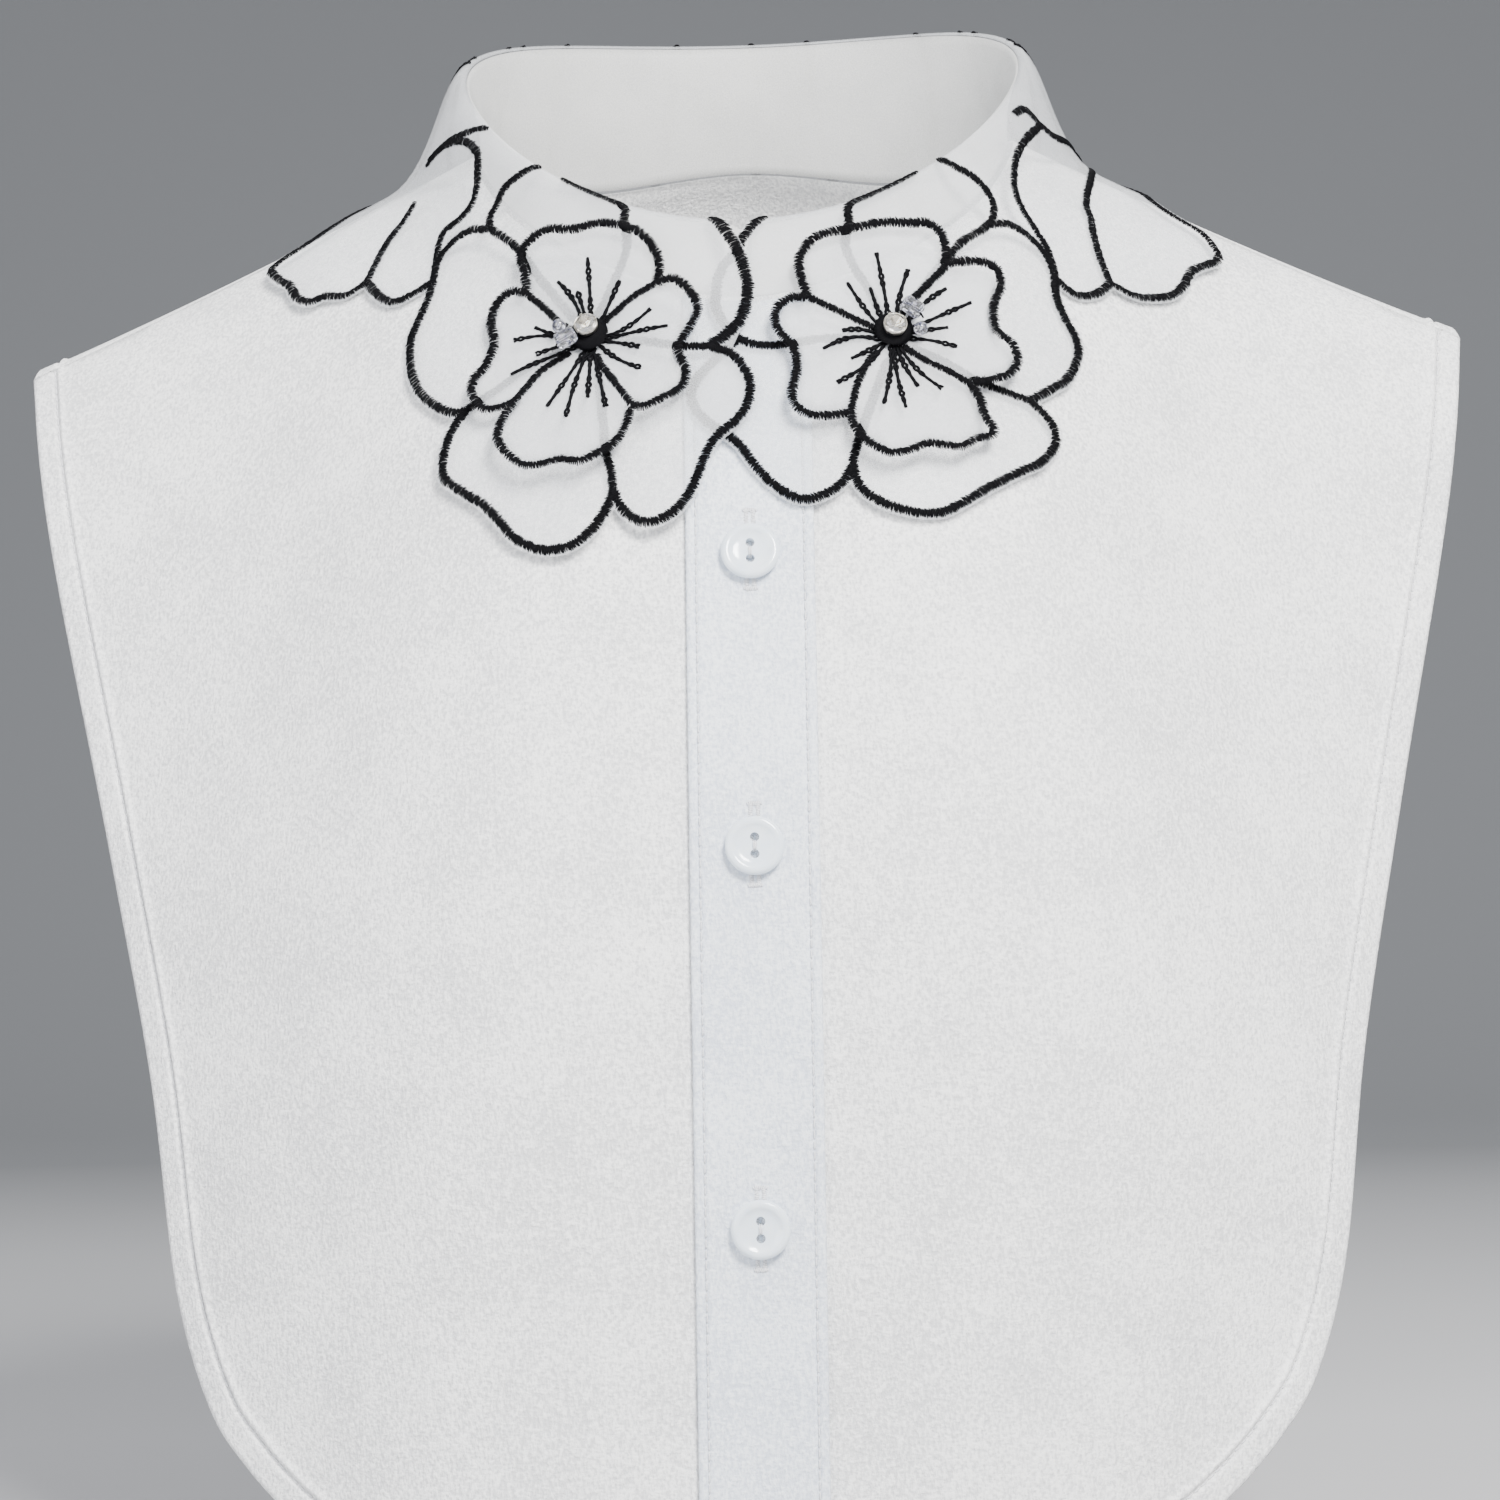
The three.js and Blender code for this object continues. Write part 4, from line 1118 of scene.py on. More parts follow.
def stamenStitches(side):
    # each of them a pair of threads that cross and open again
    flower = flowers[side]
    surface = flower["surface"]
    paths, ups = [], []
    for end in flower["ends"]:
        share = np.linspace(0, 1, 44)
        start = flower["middle"]
        bend = np.array([start[1] - end[1], end[0] - start[0]]) * rng.uniform(-0.06, 0.06)
        at = start + (end - start) * (0.12 + 0.88 * share[:, None]) + bend * np.sin(share * math.pi)[:, None]
        normal, _, right, _ = acrossLine(surface, at)
        points = surface(at)
        turns = wayAlong(points) / stroke["stamenCross"] * math.pi + rng.uniform(0, 3)
        gap = stroke["stamenOpen"] * (0.55 + 0.45 * np.sin(turns * 0.43 + rng.uniform(0, 6)))
        for sign in (-1, 1):
            aside = sign * gap * np.sin(turns)
            height = flowerForm["thickness"] / 2 + 0.2 * mm + sign * 0.12 * mm * np.cos(turns)
            paths.append(points + right * aside[:, None] + normal * height[:, None])
            ups.append(normal)
    return threadMesh("stamen_stitches_" + side, np.array(paths), np.array(ups), stroke["stamenThread"])


def flowerPad(side):
    # a padded disc of straight threads that lie side by side
    flower = flowers[side]
    centre = nodeCentre("flower_centre_" + side)
    normal = outwardOn(flower["surface"], flower["middle"][None])[0][0]
    right = unit(np.cross(np.array([0, 0, 1.0]), -normal))
    right = right if right[0] > 0 else -right
    up = np.cross(normal, right)
    up = up if up[2] > 0 else -up
    radius = flowerForm["padRadius"]
    offsets = np.arange(-radius * 0.97, radius * 0.97, flowerForm["padPitch"])
    share = np.linspace(-1, 1, 11)
    angle = flowerForm["padTurn"][side]
    a = right * math.cos(angle) + up * math.sin(angle)
    b = up * math.cos(angle) - right * math.sin(angle)
    paths = []
    for offset in offsets:
        half = math.sqrt(radius ** 2 - offset ** 2) * rng.uniform(0.97, 1.04)
        away = np.hypot(share * half, offset) / radius
        height = flowerForm["padRise"] * np.sqrt(np.clip(1 - away ** 2.6, 0, 1)) - flowerForm["padSink"]
        paths.append(centre + a * (share * half)[:, None] + b * offset + normal * height[:, None])
    paths = np.array(paths)
    ups = np.broadcast_to(normal, paths.shape)
    bm = bmesh.new()
    bmesh.ops.create_uvsphere(bm, u_segments=40, v_segments=12, radius=1)
    for vert in bm.verts:
        x, y, z = vert.co
        z = 0.75 * mm * math.copysign(abs(z) ** 0.8, z) if z > 0 else 0.6 * mm * z
        vert.co = Vector(centre + a * x * radius * 0.97 + b * y * radius * 0.97 + normal * (z - 0.35 * mm))
    if normal @ np.cross(a, b) < 0:
        bmesh.ops.reverse_faces(bm, faces=bm.faces)
    body = toObject("pad_" + side, bm)
    threads = threadMesh("pad_threads_" + side, paths, ups, flowerForm["padThread"], 0.8)
    return body, threads, (right, up, normal)


stitches = {side: [flowerStitches(side), stamenStitches(side)] for side in flowers}
pads = {side: flowerPad(side) for side in flowers}
print("small flowers embroidered")


# White stitches along the hems and the placket, and the buttonholes
sewing = {
    "pitch": 2.4 * mm,
    "dash": 1.9 * mm,
    "radius": 0.2 * mm,
    "start": 0.6 * mm,            # from a row's end to its first stitch
    "arch": 0.16 * mm,
    "sink": 0.1 * mm,
    "hemLift": 0.36 * mm,         # of the stitches over the bottom of their groove
    "holeHalf": 9.3 * mm,         # half the length of a buttonhole
    "holeAside": 0.85 * mm,       # from its slit to the middle of each row
    "holeWidth": 1.2 * mm,
    "tackHalf": 1.5 * mm,         # half the length of a bar tack
    "tackWidth": 1.3 * mm,
}


def sewn(name, rows):
    # rows of (line of points in space, their normals)
    paths, ups = [], []
    for points, normals in rows:
        way = wayAlong(points)
        starts = np.arange(sewing["start"], way[-1] - sewing["dash"], sewing["pitch"])
        share = np.linspace(0, 1, 6)
        at = starts[:, None] + share * sewing["dash"]
        path = np.stack([np.interp(at, way, points[:, k]) for k in range(3)], -1)
        up = np.stack([np.interp(at, way, normals[:, k]) for k in range(3)], -1)
        paths.append(path + up * (np.sin(share * math.pi) * sewing["arch"] - sewing["sink"])[:, None])
        ups.append(up)
    return threadMesh(name, np.concatenate(paths), np.concatenate(ups), sewing["radius"], 0.8)


def overCloth(height):
    return lambda at: overPattern(at, height)


def rowOver(line, height):
    surface = overCloth(height)
    return surface(line), outwardOn(surface, line)[0]


hemHeight = bib["cloth"] + float(hemRelief(np.array([bib["hem"]]))[0]) + sewing["hemLift"]


def hemStitches(name, edge, middle):
    return sewn(name, [rowOver(inwards(edge, bib["hem"], np.array(middle) * mm), hemHeight)])


hemLeft = hemStitches("hem_stitches_left", frontLeftEdge, (-90, -200))
hemRight = hemStitches("hem_stitches_right", frontRightEdge, (90, -200))
hemBack = hemStitches("hem_stitches_back", backEdge, (0, 150))
placketRows = []
for side in (-1, 1):
    x = side * (bib["placketWidth"] / 2 - bib["placketRow"])
    across = np.array([x])
    start = neckSeam(np.arcsin(across / halfNeck), -bib["seamGap"])[0, 1] - 3 * mm
    end = onPattern(across, downAtHeight(across, -form["frontLength"], -1))[0, 1] + 2 * mm
    line = np.stack([np.full(500, x), np.linspace(start, end, 500)], -1)
    placketRows.append(rowOver(line, bib["placketTop"] - 0.02 * mm))
placketStitches = sewn("placket_stitches", placketRows)

# Sizes in millimetres
buttonForm = {
    "names": ["button_top", "button_middle", "button_bottom"],
    "profile": [(0, -0.25), (5.0, -0.25), (6.1, 0.15), (6.65, 0.8), (6.8, 1.35), (6.68, 1.9), (6.25, 2.32),
                (5.7, 2.48), (5.1, 2.4), (4.5, 2.12), (3.6, 1.84), (2, 1.7), (0, 1.66)],
    "holeRadius": 1.05,
    "holeSpacing": 3.9,
    "halfHeight": 1.25,
    "softEdge": 0.12,
    "strands": 2,
    "strandGap": 0.42,
    "strandRadius": 0.22,
    "strandReach": 0.64,          # a share of half the distance between the holes
}


def buttonPlace(name):
    centre = nodeCentre(name)
    down = downAtHeight(centre[:1] * 0, centre[2:], -1)
    normal = bodyNormal(centre[:1], down)[0]
    right = np.array([1.0, 0, 0])
    up = np.cross(normal, right)
    return centre - normal * buttonForm["halfHeight"] * mm, right, up, normal


def intoPlace(bm, place):
    # from millimetres round the origin to its place on the part
    origin, right, up, normal = place
    turn = Matrix([list(right), list(up), list(normal)]).transposed().to_4x4()
    bmesh.ops.transform(bm, matrix=Matrix.Translation(origin) @ turn @ Matrix.Scale(mm, 4), verts=bm.verts)


def spun(profile, steps, each=4, closed=False):
    # a closed profile goes round a hole, an open one starts and ends on the axis
    bm = bmesh.new()
    pairs = curveThrough(profile, each) if each > 1 else np.array(profile, float)
    if not closed:
        pairs[:, 0] = np.maximum(pairs[:, 0], 0)
        pairs[0, 0] = pairs[-1, 0] = 0
    verts = [bm.verts.new((r, 0, h)) for r, h in pairs]
    edges = [bm.edges.new(pair) for pair in zip(verts, verts[1:] + verts[:closed])]
    bmesh.ops.spin(bm, geom=verts + edges, cent=(0, 0, 0), axis=(0, 0, 1), angle=math.tau, steps=steps,
                   use_merge=True)
    bmesh.ops.remove_doubles(bm, verts=bm.verts, dist=1e-4)
    bmesh.ops.recalc_face_normals(bm, faces=bm.faces)
    return bm


def applied(obj):
    # the object with its modifiers made real
    mesh = bpy.data.meshes.new_from_object(obj.evaluated_get(bpy.context.evaluated_depsgraph_get()))
    obj.modifiers.clear()
    obj.data = mesh
    return obj


def makeButton(name):
    place = buttonPlace(name)
    bm = spun(buttonForm["profile"], 72)
    intoPlace(bm, place)
    obj = toObject(name.replace("button", "moulded_button"), bm)
    cutter = bmesh.new()
    for side in (-1, 1):
        shift = Matrix.Translation((0, side * buttonForm["holeSpacing"] / 2, 0))
        bmesh.ops.create_cone(cutter, cap_ends=True, segments=28, radius1=buttonForm["holeRadius"],
                              radius2=buttonForm["holeRadius"], depth=9, matrix=shift)
    intoPlace(cutter, place)
    holes = toObject("holes", cutter)
    cut = obj.modifiers.new("holes", "BOOLEAN")
    cut.operation = "DIFFERENCE"
    cut.object = holes
    applied(obj)
    bpy.data.objects.remove(holes)
    bevel = obj.modifiers.new("softEdge", "BEVEL")
    bevel.width = buttonForm["softEdge"] * mm
    bevel.segments = 3
    bevel.limit_method = "ANGLE"
    bevel.angle_limit = math.radians(40)
    for face in obj.data.polygons:
        face.use_smooth = True
    origin, right, up, normal = place
    share = np.linspace(-1, 1, 9)
    half = buttonForm["holeSpacing"] / 2 * mm
    paths = []
    for k in range(buttonForm["strands"]):
        aside = (k - (buttonForm["strands"] - 1) / 2) * buttonForm["strandGap"] * mm
        rise = (2.0 - 1.9 * np.abs(share) ** 5) * mm
        along = share * half * buttonForm["strandReach"]
        paths.append(origin + right * aside + up * along[:, None] + normal * rise[:, None])
    paths = np.array(paths)
    ups = np.broadcast_to(normal, paths.shape)
    tied = threadMesh(name.replace("button", "button_thread"), paths, ups,
                      buttonForm["strandRadius"] * mm, 0.9)
    return obj, tied


buttons = {name: makeButton(name) for name in buttonForm["names"]}


def buttonhole(name):
    # two rows of satin stitch along the slit, with a bar tack at each end
    origin = buttonPlace(name)[0]
    surface = overCloth(bib["placketTop"])
    middle = onPattern(origin[:1] * 0, downAtHeight(origin[:1] * 0, origin[2:], -1))[0]
    parts = []
    for side in (-1, 1):
        x, y = side * sewing["holeAside"], side * sewing["holeHalf"]
        down = np.linspace(sewing["holeHalf"], -sewing["holeHalf"], 20)
        line = middle + np.stack([np.full(20, x), down], -1)
        parts.append(satin(surface, line, sewing["holeWidth"], -0.1 * mm))
        across = np.linspace(-sewing["tackHalf"], sewing["tackHalf"], 12)
        line = middle + np.stack([across, np.full(12, y)], -1)
        parts.append(satin(surface, line, sewing["tackWidth"], -0.05 * mm))
    return parts


buttonholes = embroider("buttonholes", sum([buttonhole(name) for name in buttonForm["names"]], []))
print("stitches, buttonholes and buttons made")

# Stones and beads, each in the place of its solid. Sizes in millimetres, turns in degrees
jewel = {
    "stoneRadius": 2.8,
    "tubeRadius": 2.1,
    "tubeHalf": 2.5,
    "roundRadius": 1.7,
    "threadHole": 0.45,
    "tubeTurn": {"left": 35, "right": -40},
    "roundTurn": 64,
}


def makeStone(side):
    # a cut glass stone over a mirror, in a thin cup with four claws
    right, up, normal = pads[side][2]
    place = (nodeCentre("stone_" + side) - normal * 1.5 * mm, right, up, normal)
    r = jewel["stoneRadius"]
    bm = bmesh.new()
    # radius, height, corners, and their turn as a share of a corner
    rings = [(0.5 * r, 2.95, 8, 0), (0.76 * r, 2.35, 16, 0), (0.9 * r, 1.6, 16, 0.5),
             (0.88 * r, 1.35, 16, 0.5)]
    loops = []
    for radius, height, count, shift in rings:
        loops.append([bm.verts.new((radius * math.cos((k + shift) * math.tau / count),
                                    radius * math.sin((k + shift) * math.tau / count), height))
                      for k in range(count)])
    tip = bm.verts.new((0, 0, 0.25))
    bm.faces.new(loops[0])
    for k in range(8):
        a, b = loops[0][k], loops[0][(k + 1) % 8]
        c, d, e = loops[1][2 * k], loops[1][2 * k + 1], loops[1][(2 * k + 2) % 16]
        for face in ((a, c, d), (a, d, b), (b, d, e)):
            bm.faces.new(face)
    for k in range(16):
        a, b = loops[1][k], loops[1][(k + 1) % 16]
        c, d = loops[2][k - 1], loops[2][k]
        bm.faces.new((a, c, d))
        bm.faces.new((a, d, b))
        bm.faces.new((loops[2][k], loops[3][k], loops[3][(k + 1) % 16], loops[2][(k + 1) % 16]))
        bm.faces.new((loops[3][k], tip, loops[3][(k + 1) % 16]))
    bmesh.ops.recalc_face_normals(bm, faces=bm.faces)
    intoPlace(bm, place)
    stone = toObject("cut_stone_" + side, bm, smooth=False)
    foil = spun([(0, 0.05), (0.93 * r, 1.3), (0.93 * r, 1.36), (0.86 * r, 1.34), (0, 0.16)], 16, each=1)
    intoPlace(foil, place)
    foil = toObject("stone_foil_" + side, foil, smooth=False)
    cup = spun([(0, -0.3), (0.7 * r, -0.3), (0.95 * r, 0.1), (1.0 * r, 0.9), (1.0 * r, 1.7), (0.94 * r, 1.75),
                (0.93 * r, 1.0), (0.85 * r, 0.2), (0, 0.0)], 48, each=1)
    for k in range(4):
        turn = Matrix.Rotation(k * math.tau / 4 + 0.5, 4, "Z")
        claw = bmesh.ops.create_cube(cup, size=1, matrix=turn @ Matrix.Translation((0.93 * r, 0, 1.85))
                                     @ Matrix.Rotation(0.5, 4, "Y") @ Matrix.Diagonal((0.24, 0.62, 0.7, 1)))
        edges = list(dict.fromkeys(e for v in claw["verts"] for e in v.link_edges))
        bmesh.ops.bevel(cup, geom=edges, offset=0.08, segments=2, affect="EDGES", profile=0.5, material=-1)
    intoPlace(cup, place)
    return stone, foil, toObject("stone_cup_" + side, cup)


def makeTubeBead(side):
    # a cut glass tube round its thread
    right, up, normal = pads[side][2]
    turn = math.radians(jewel["tubeTurn"][side])
    axis = right * math.cos(turn) + up * math.sin(turn)
    across = np.cross(normal, axis)
    place = (nodeCentre("tube_bead_" + side), across, normal, axis)
    r, h, hole = jewel["tubeRadius"], jewel["tubeHalf"], jewel["threadHole"]
    profile = [(hole, -h + 0.1), (r * 0.72, -h), (r, -h + 0.5), (r, h - 0.5), (r * 0.72, h), (hole, h - 0.1)]
    bm = spun(profile, 12, each=1, closed=True)
    intoPlace(bm, place)
    obj = toObject("glass_tube_" + side, bm, smooth=False)
    soft = obj.modifiers.new("softEdge", "BEVEL")
    soft.width = 0.07 * mm
    soft.segments = 2
    share = np.linspace(-1, 1, 7)
    path = place[0] + axis * (share * (h + 0.9) * mm)[:, None]
    path = path - normal * (1.3 * mm * np.abs(share) ** 5)[:, None]
    tied = threadMesh("tube_bead_thread_" + side, path[None], np.broadcast_to(normal, (1, 7, 3)), 0.3 * mm)
    return obj, tied


def makeRoundBead(side):
    right, up, normal = pads[side][2]
    place = (nodeCentre("round_bead_" + side), right, up, normal)
    r, hole = jewel["roundRadius"], jewel["threadHole"]
    angles = np.linspace(math.asin(hole / r), math.pi - math.asin(hole / r), 14)
    bm = spun([(r * math.sin(a), 0.9 * r * math.cos(a)) for a in angles], 32, each=1, closed=True)
    bmesh.ops.rotate(bm, verts=bm.verts, cent=(0, 0, 0),
                     matrix=Matrix.Rotation(math.radians(jewel["roundTurn"]), 3, "X"))
    intoPlace(bm, place)
    return toObject("glass_bead_" + side, bm)


stones = {side: makeStone(side) for side in flowers}
tubeBeads = {side: makeTubeBead(side) for side in flowers}
roundBeads = {side: makeRoundBead(side) for side in flowers}
print("stones and beads made")


# Materials. Groups put out only values that change over the surface.
def newGroup(name, inputs, outputs):
    group = bpy.data.node_groups.new(name, "ShaderNodeTree")
    for socket, value in inputs.items():
        kind = "NodeSocketVector" if socket == "Vector" else "NodeSocketFloat"
        made = group.interface.new_socket(socket, in_out="INPUT", socket_type=kind)
        if kind == "NodeSocketFloat":
            made.default_value = value
    for socket in outputs:
        group.interface.new_socket(socket, in_out="OUTPUT", socket_type="NodeSocketFloat")
    return group, group.nodes.new("NodeGroupInput"), group.nodes.new("NodeGroupOutput")


def calc(tree, operation, a, b=None, clamp=False):
    node = tree.nodes.new("ShaderNodeMath")
    node.operation = operation
    node.use_clamp = clamp
    for socket, value in zip(node.inputs, (a, b)):
        if value is None:
            continue
        if isinstance(value, (int, float)):
            socket.default_value = value
        else:
            tree.links.new(value, socket)
    return node.outputs[0]


def noise(tree, vector, scale, detail=2.0, rough=0.5):
    node = tree.nodes.new("ShaderNodeTexNoise")
    tree.links.new(vector, node.inputs["Vector"])
    if isinstance(scale, (int, float)):
        node.inputs["Scale"].default_value = scale
    else:
        tree.links.new(scale, node.inputs["Scale"])
    node.inputs["Detail"].default_value = detail
    node.inputs["Roughness"].default_value = rough
    return node.outputs[0]


def stretched(tree, vector, scale, turn=0.0):
    node = tree.nodes.new("ShaderNodeMapping")
    node.inputs["Scale"].default_value = scale
    node.inputs["Rotation"].default_value = (0, turn, 0)
    tree.links.new(vector, node.inputs["Vector"])
    return node.outputs[0]


def clothGrainGroup():
    # fine pebbled grain of satin crepe, sparkling points, and slow mottling
    group, given, put = newGroup("clothGrain", {"Vector": 0, "Grain": 2600.0},
                                 ["Height", "Sparkle", "Mottle"])
    at = given.outputs["Vector"]
    across = noise(group, stretched(group, at, (1, 1, 0.45), 0.35), given.outputs["Grain"], 3, 0.6)
    along = noise(group, stretched(group, at, (0.5, 1, 1), -0.5), given.outputs["Grain"], 2, 0.5)
    height = calc(group, "ADD", calc(group, "MULTIPLY", across, 0.65), calc(group, "MULTIPLY", along, 0.35))
    group.links.new(height, put.inputs["Height"])
    specks = noise(group, at, calc(group, "MULTIPLY", given.outputs["Grain"], 1.7), 1, 0.5)
    sparkle = calc(group, "MULTIPLY", calc(group, "SUBTRACT", specks, 0.55, clamp=True), 4.0, clamp=True)
    group.links.new(sparkle, put.inputs["Sparkle"])
    group.links.new(noise(group, at, 38.0, 3, 0.6), put.inputs["Mottle"])
    return group


def threadFibreGroup():
    # fine fibres and uneven shine
    group, given, put = newGroup("threadFibres", {"Vector": 0, "Scale": 5200.0}, ["Height", "Shine"])
    at = given.outputs["Vector"]
    group.links.new(noise(group, at, given.outputs["Scale"], 3, 0.65), put.inputs["Height"])
    group.links.new(noise(group, at, 900.0, 2, 0.5), put.inputs["Shine"])
    return group


def netGroup():
    # the sheer cloth's threads as a fine noise, and where the light shows between them
    group, given, put = newGroup("organzaNet", {"Vector": 0, "Threads": 3600.0},
                                 ["Cover", "Height", "Sparkle"])
    at = given.outputs["Vector"]
    cells = noise(group, at, given.outputs["Threads"], 1, 0.5)
    slow = noise(group, at, 60.0, 2, 0.5)
    cover = calc(group, "ADD", calc(group, "MULTIPLY", cells, 0.5), calc(group, "MULTIPLY", slow, 0.25))
    group.links.new(cover, put.inputs["Cover"])
    group.links.new(cells, put.inputs["Height"])
    specks = noise(group, at, calc(group, "MULTIPLY", given.outputs["Threads"], 0.8), 1, 0.5)
    sparkle = calc(group, "MULTIPLY", calc(group, "SUBTRACT", specks, 0.6, clamp=True), 6.0, clamp=True)
    group.links.new(sparkle, put.inputs["Sparkle"])
    return group


clothGrain, threadFibres, organzaNet = clothGrainGroup(), threadFibreGroup(), netGroup()


def newMaterial(name):
    material = bpy.data.materials.new(name)
    material.use_nodes = True
    tree = material.node_tree
    tree.nodes.clear()
    shader = tree.nodes.new("ShaderNodeBsdfPrincipled")
    out = tree.nodes.new("ShaderNodeOutputMaterial")
    tree.links.new(shader.outputs[0], out.inputs["Surface"])
    return material, tree, shader, tree.nodes.new("ShaderNodeTexCoord").outputs["Object"]


def use(tree, group, vector, **values):
    node = tree.nodes.new("ShaderNodeGroup")
    node.node_tree = group
    tree.links.new(vector, node.inputs["Vector"])
    for key, value in values.items():
        node.inputs[key].default_value = value
    return node.outputs


def ramp(tree, value, stops, socket):
    node = tree.nodes.new("ShaderNodeValToRGB")
    elements = node.color_ramp.elements
    while len(elements) < len(stops):
        elements.new(0.5)
    for element, (place, colour) in zip(elements, stops):
        element.position = place
        element.color = (*colour, 1) if hasattr(colour, "__len__") else (colour, colour, colour, 1)
    tree.links.new(value, node.inputs["Fac"])
    tree.links.new(node.outputs["Color"], socket)


def bump(tree, shader, height, distance):
    node = tree.nodes.new("ShaderNodeBump")
    node.inputs["Strength"].default_value = 1.0
    node.inputs["Distance"].default_value = distance
    tree.links.new(height, node.inputs["Height"])
    tree.links.new(node.outputs["Normal"], shader.inputs["Normal"])


def crepeMaterial(name, dark, light, grain, depth):
    material, tree, shader, at = newMaterial(name)
    cloth = use(tree, clothGrain, at, Grain=grain)
    fine = calc(tree, "MULTIPLY", cloth["Height"], 0.8)
    mix = calc(tree, "ADD", fine, calc(tree, "MULTIPLY", cloth["Mottle"], 0.2))
    ramp(tree, mix, [(0.43, dark), (0.57, light)], shader.inputs["Base Color"])
    ramp(tree, cloth["Sparkle"], [(0.0, 0.62), (1.0, 0.26)], shader.inputs["Roughness"])
    bump(tree, shader, cloth["Height"], depth)
    shader.inputs["Sheen Weight"].default_value = 0.18
    shader.inputs["Sheen Roughness"].default_value = 0.45
    shader.inputs["Specular IOR Level"].default_value = 0.42
    return material


def organzaMaterial(name, low, high, tint):
    material, tree, shader, at = newMaterial(name)
    net = use(tree, organzaNet, at)
    ramp(tree, net["Cover"], [(0.2, tuple(0.93 * c for c in tint)), (0.6, tint)], shader.inputs["Base Color"])
    ramp(tree, net["Cover"], [(0.25, low), (0.5, high)], shader.inputs["Alpha"])
    ramp(tree, net["Sparkle"], [(0.0, 0.55), (1.0, 0.2)], shader.inputs["Roughness"])
    bump(tree, shader, net["Height"], 0.05 * mm)
    shader.inputs["Specular IOR Level"].default_value = 0.5
    shader.inputs["Sheen Weight"].default_value = 0.25
    shader.inputs["Sheen Roughness"].default_value = 0.3
    return material


def threadMaterial(name, dark, light, rough, shine, gloss, sheen=0.0):
    material, tree, shader, at = newMaterial(name)
    fibre = use(tree, threadFibres, at)
    ramp(tree, fibre["Height"], [(0.35, dark), (0.7, light)], shader.inputs["Base Color"])
    ramp(tree, fibre["Shine"], [(0.3, rough), (0.7, shine)], shader.inputs["Roughness"])
    bump(tree, shader, fibre["Height"], 0.03 * mm)
    shader.inputs["Sheen Weight"].default_value = sheen
    shader.inputs["Specular IOR Level"].default_value = gloss
    return material


def plasticMaterial():
    material, tree, shader, at = newMaterial("buttonPlastic")
    cloud = noise(tree, at, 260.0, 3, 0.6)
    ramp(tree, cloud, [(0.3, (0.76, 0.85, 0.95)), (0.7, (0.85, 0.92, 0.98))], shader.inputs["Base Color"])
    ramp(tree, noise(tree, at, 2400.0, 2, 0.6), [(0.3, 0.13), (0.7, 0.2)], shader.inputs["Roughness"])
    bump(tree, shader, noise(tree, at, 900.0, 2, 0.5), 0.01 * mm)
    shader.inputs["Coat Weight"].default_value = 0.6
    shader.inputs["Coat Roughness"].default_value = 0.06
    shader.inputs["Subsurface Weight"].default_value = 0.1
    shader.inputs["Subsurface Radius"].default_value = (0.002, 0.002, 0.003)
    return material


def metalMaterial(name, dark, light, rough):
    material, tree, shader, at = newMaterial(name)
    ramp(tree, noise(tree, at, 700.0, 3, 0.6), [(0.3, dark), (0.7, light)], shader.inputs["Base Color"])
    ramp(tree, noise(tree, at, 2100.0, 3, 0.6), [(0.3, rough), (0.7, rough + 0.12)],
         shader.inputs["Roughness"])
    shader.inputs["Metallic"].default_value = 1.0
    bump(tree, shader, noise(tree, at, 3000.0, 2, 0.5), 0.01 * mm)
    return material


def glassMaterial(name, stops, scale, clear):
    material, tree, shader, at = newMaterial(name)
    ramp(tree, noise(tree, at, scale, 1, 0.4), stops, shader.inputs["Base Color"])
    ramp(tree, noise(tree, at, 1800.0, 2, 0.5), [(0.3, 0.02), (0.7, 0.06)], shader.inputs["Roughness"])
    shader.inputs["Transmission Weight"].default_value = clear
    shader.inputs["IOR"].default_value = 1.56
    shader.inputs["Coat Weight"].default_value = 0.5
    shader.inputs["Coat Roughness"].default_value = 0.03
    return material


crepe = crepeMaterial("whiteCrepe", (0.66, 0.662, 0.67), (1.0, 0.998, 0.985), 1450.0, 0.7 * mm)
placketCrepe = crepeMaterial("placketCrepe", (0.64, 0.69, 0.78), (0.91, 0.955, 1.0), 1450.0, 0.6 * mm)
organza = organzaMaterial("sheerOrganza", 0.15, 0.32, (0.93, 0.95, 0.975))
# The band's copy of the organza is greyer and denser than the leaf's: painted shade of the hollow inside the
# collar
bandOrganzaPaintedShade = organzaMaterial("bandOrganzaPaintedShade", 0.4, 0.62, (0.82, 0.82, 0.8))
blackThread = threadMaterial("blackThread", (0.0012, 0.0012, 0.0016), (0.004, 0.004, 0.0055), 0.75, 0.6, 0.08)
whiteThread = threadMaterial("whiteThread", (0.66, 0.67, 0.7), (0.9, 0.9, 0.92), 0.6, 0.45, 0.4, 0.2)
buttonPlastic = plasticMaterial()
cupMetal = metalMaterial("cupMetal", (0.42, 0.4, 0.36), (0.72, 0.69, 0.62), 0.25)
foilMetal = metalMaterial("foilMetal", (0.75, 0.71, 0.62), (0.93, 0.9, 0.83), 0.06)
cutGlass = glassMaterial("cutGlass", [(0.3, (0.93, 0.9, 0.84)), (0.7, (0.99, 0.98, 0.96))], 500.0, 1.0)
# Bead colours: near white for the clear glass, dark navy bands that are painted refraction of the black pad
# behind, and violet and pink that are a painted iridescent sheen
beadTintsAndPaintedRefraction = [(0.35, (0.13, 0.14, 0.22)), (0.4, (0.6, 0.58, 0.9)), (0.45, (0.95, 0.97, 1)),
             (0.64, (1, 1, 1)), (0.7, (0.97, 0.82, 0.93))]
beadGlass = glassMaterial("beadGlass", beadTintsAndPaintedRefraction, 1000.0, 0.96)
print("materials made")


# Every piece: what it is made of, what it stands for and how it rides
def settle(obj, material, slot, *replaced):
    obj.data.materials.clear()
    obj.data.materials.append(material)
    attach(obj, "root")
    if replaced:
        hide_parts(*replaced)


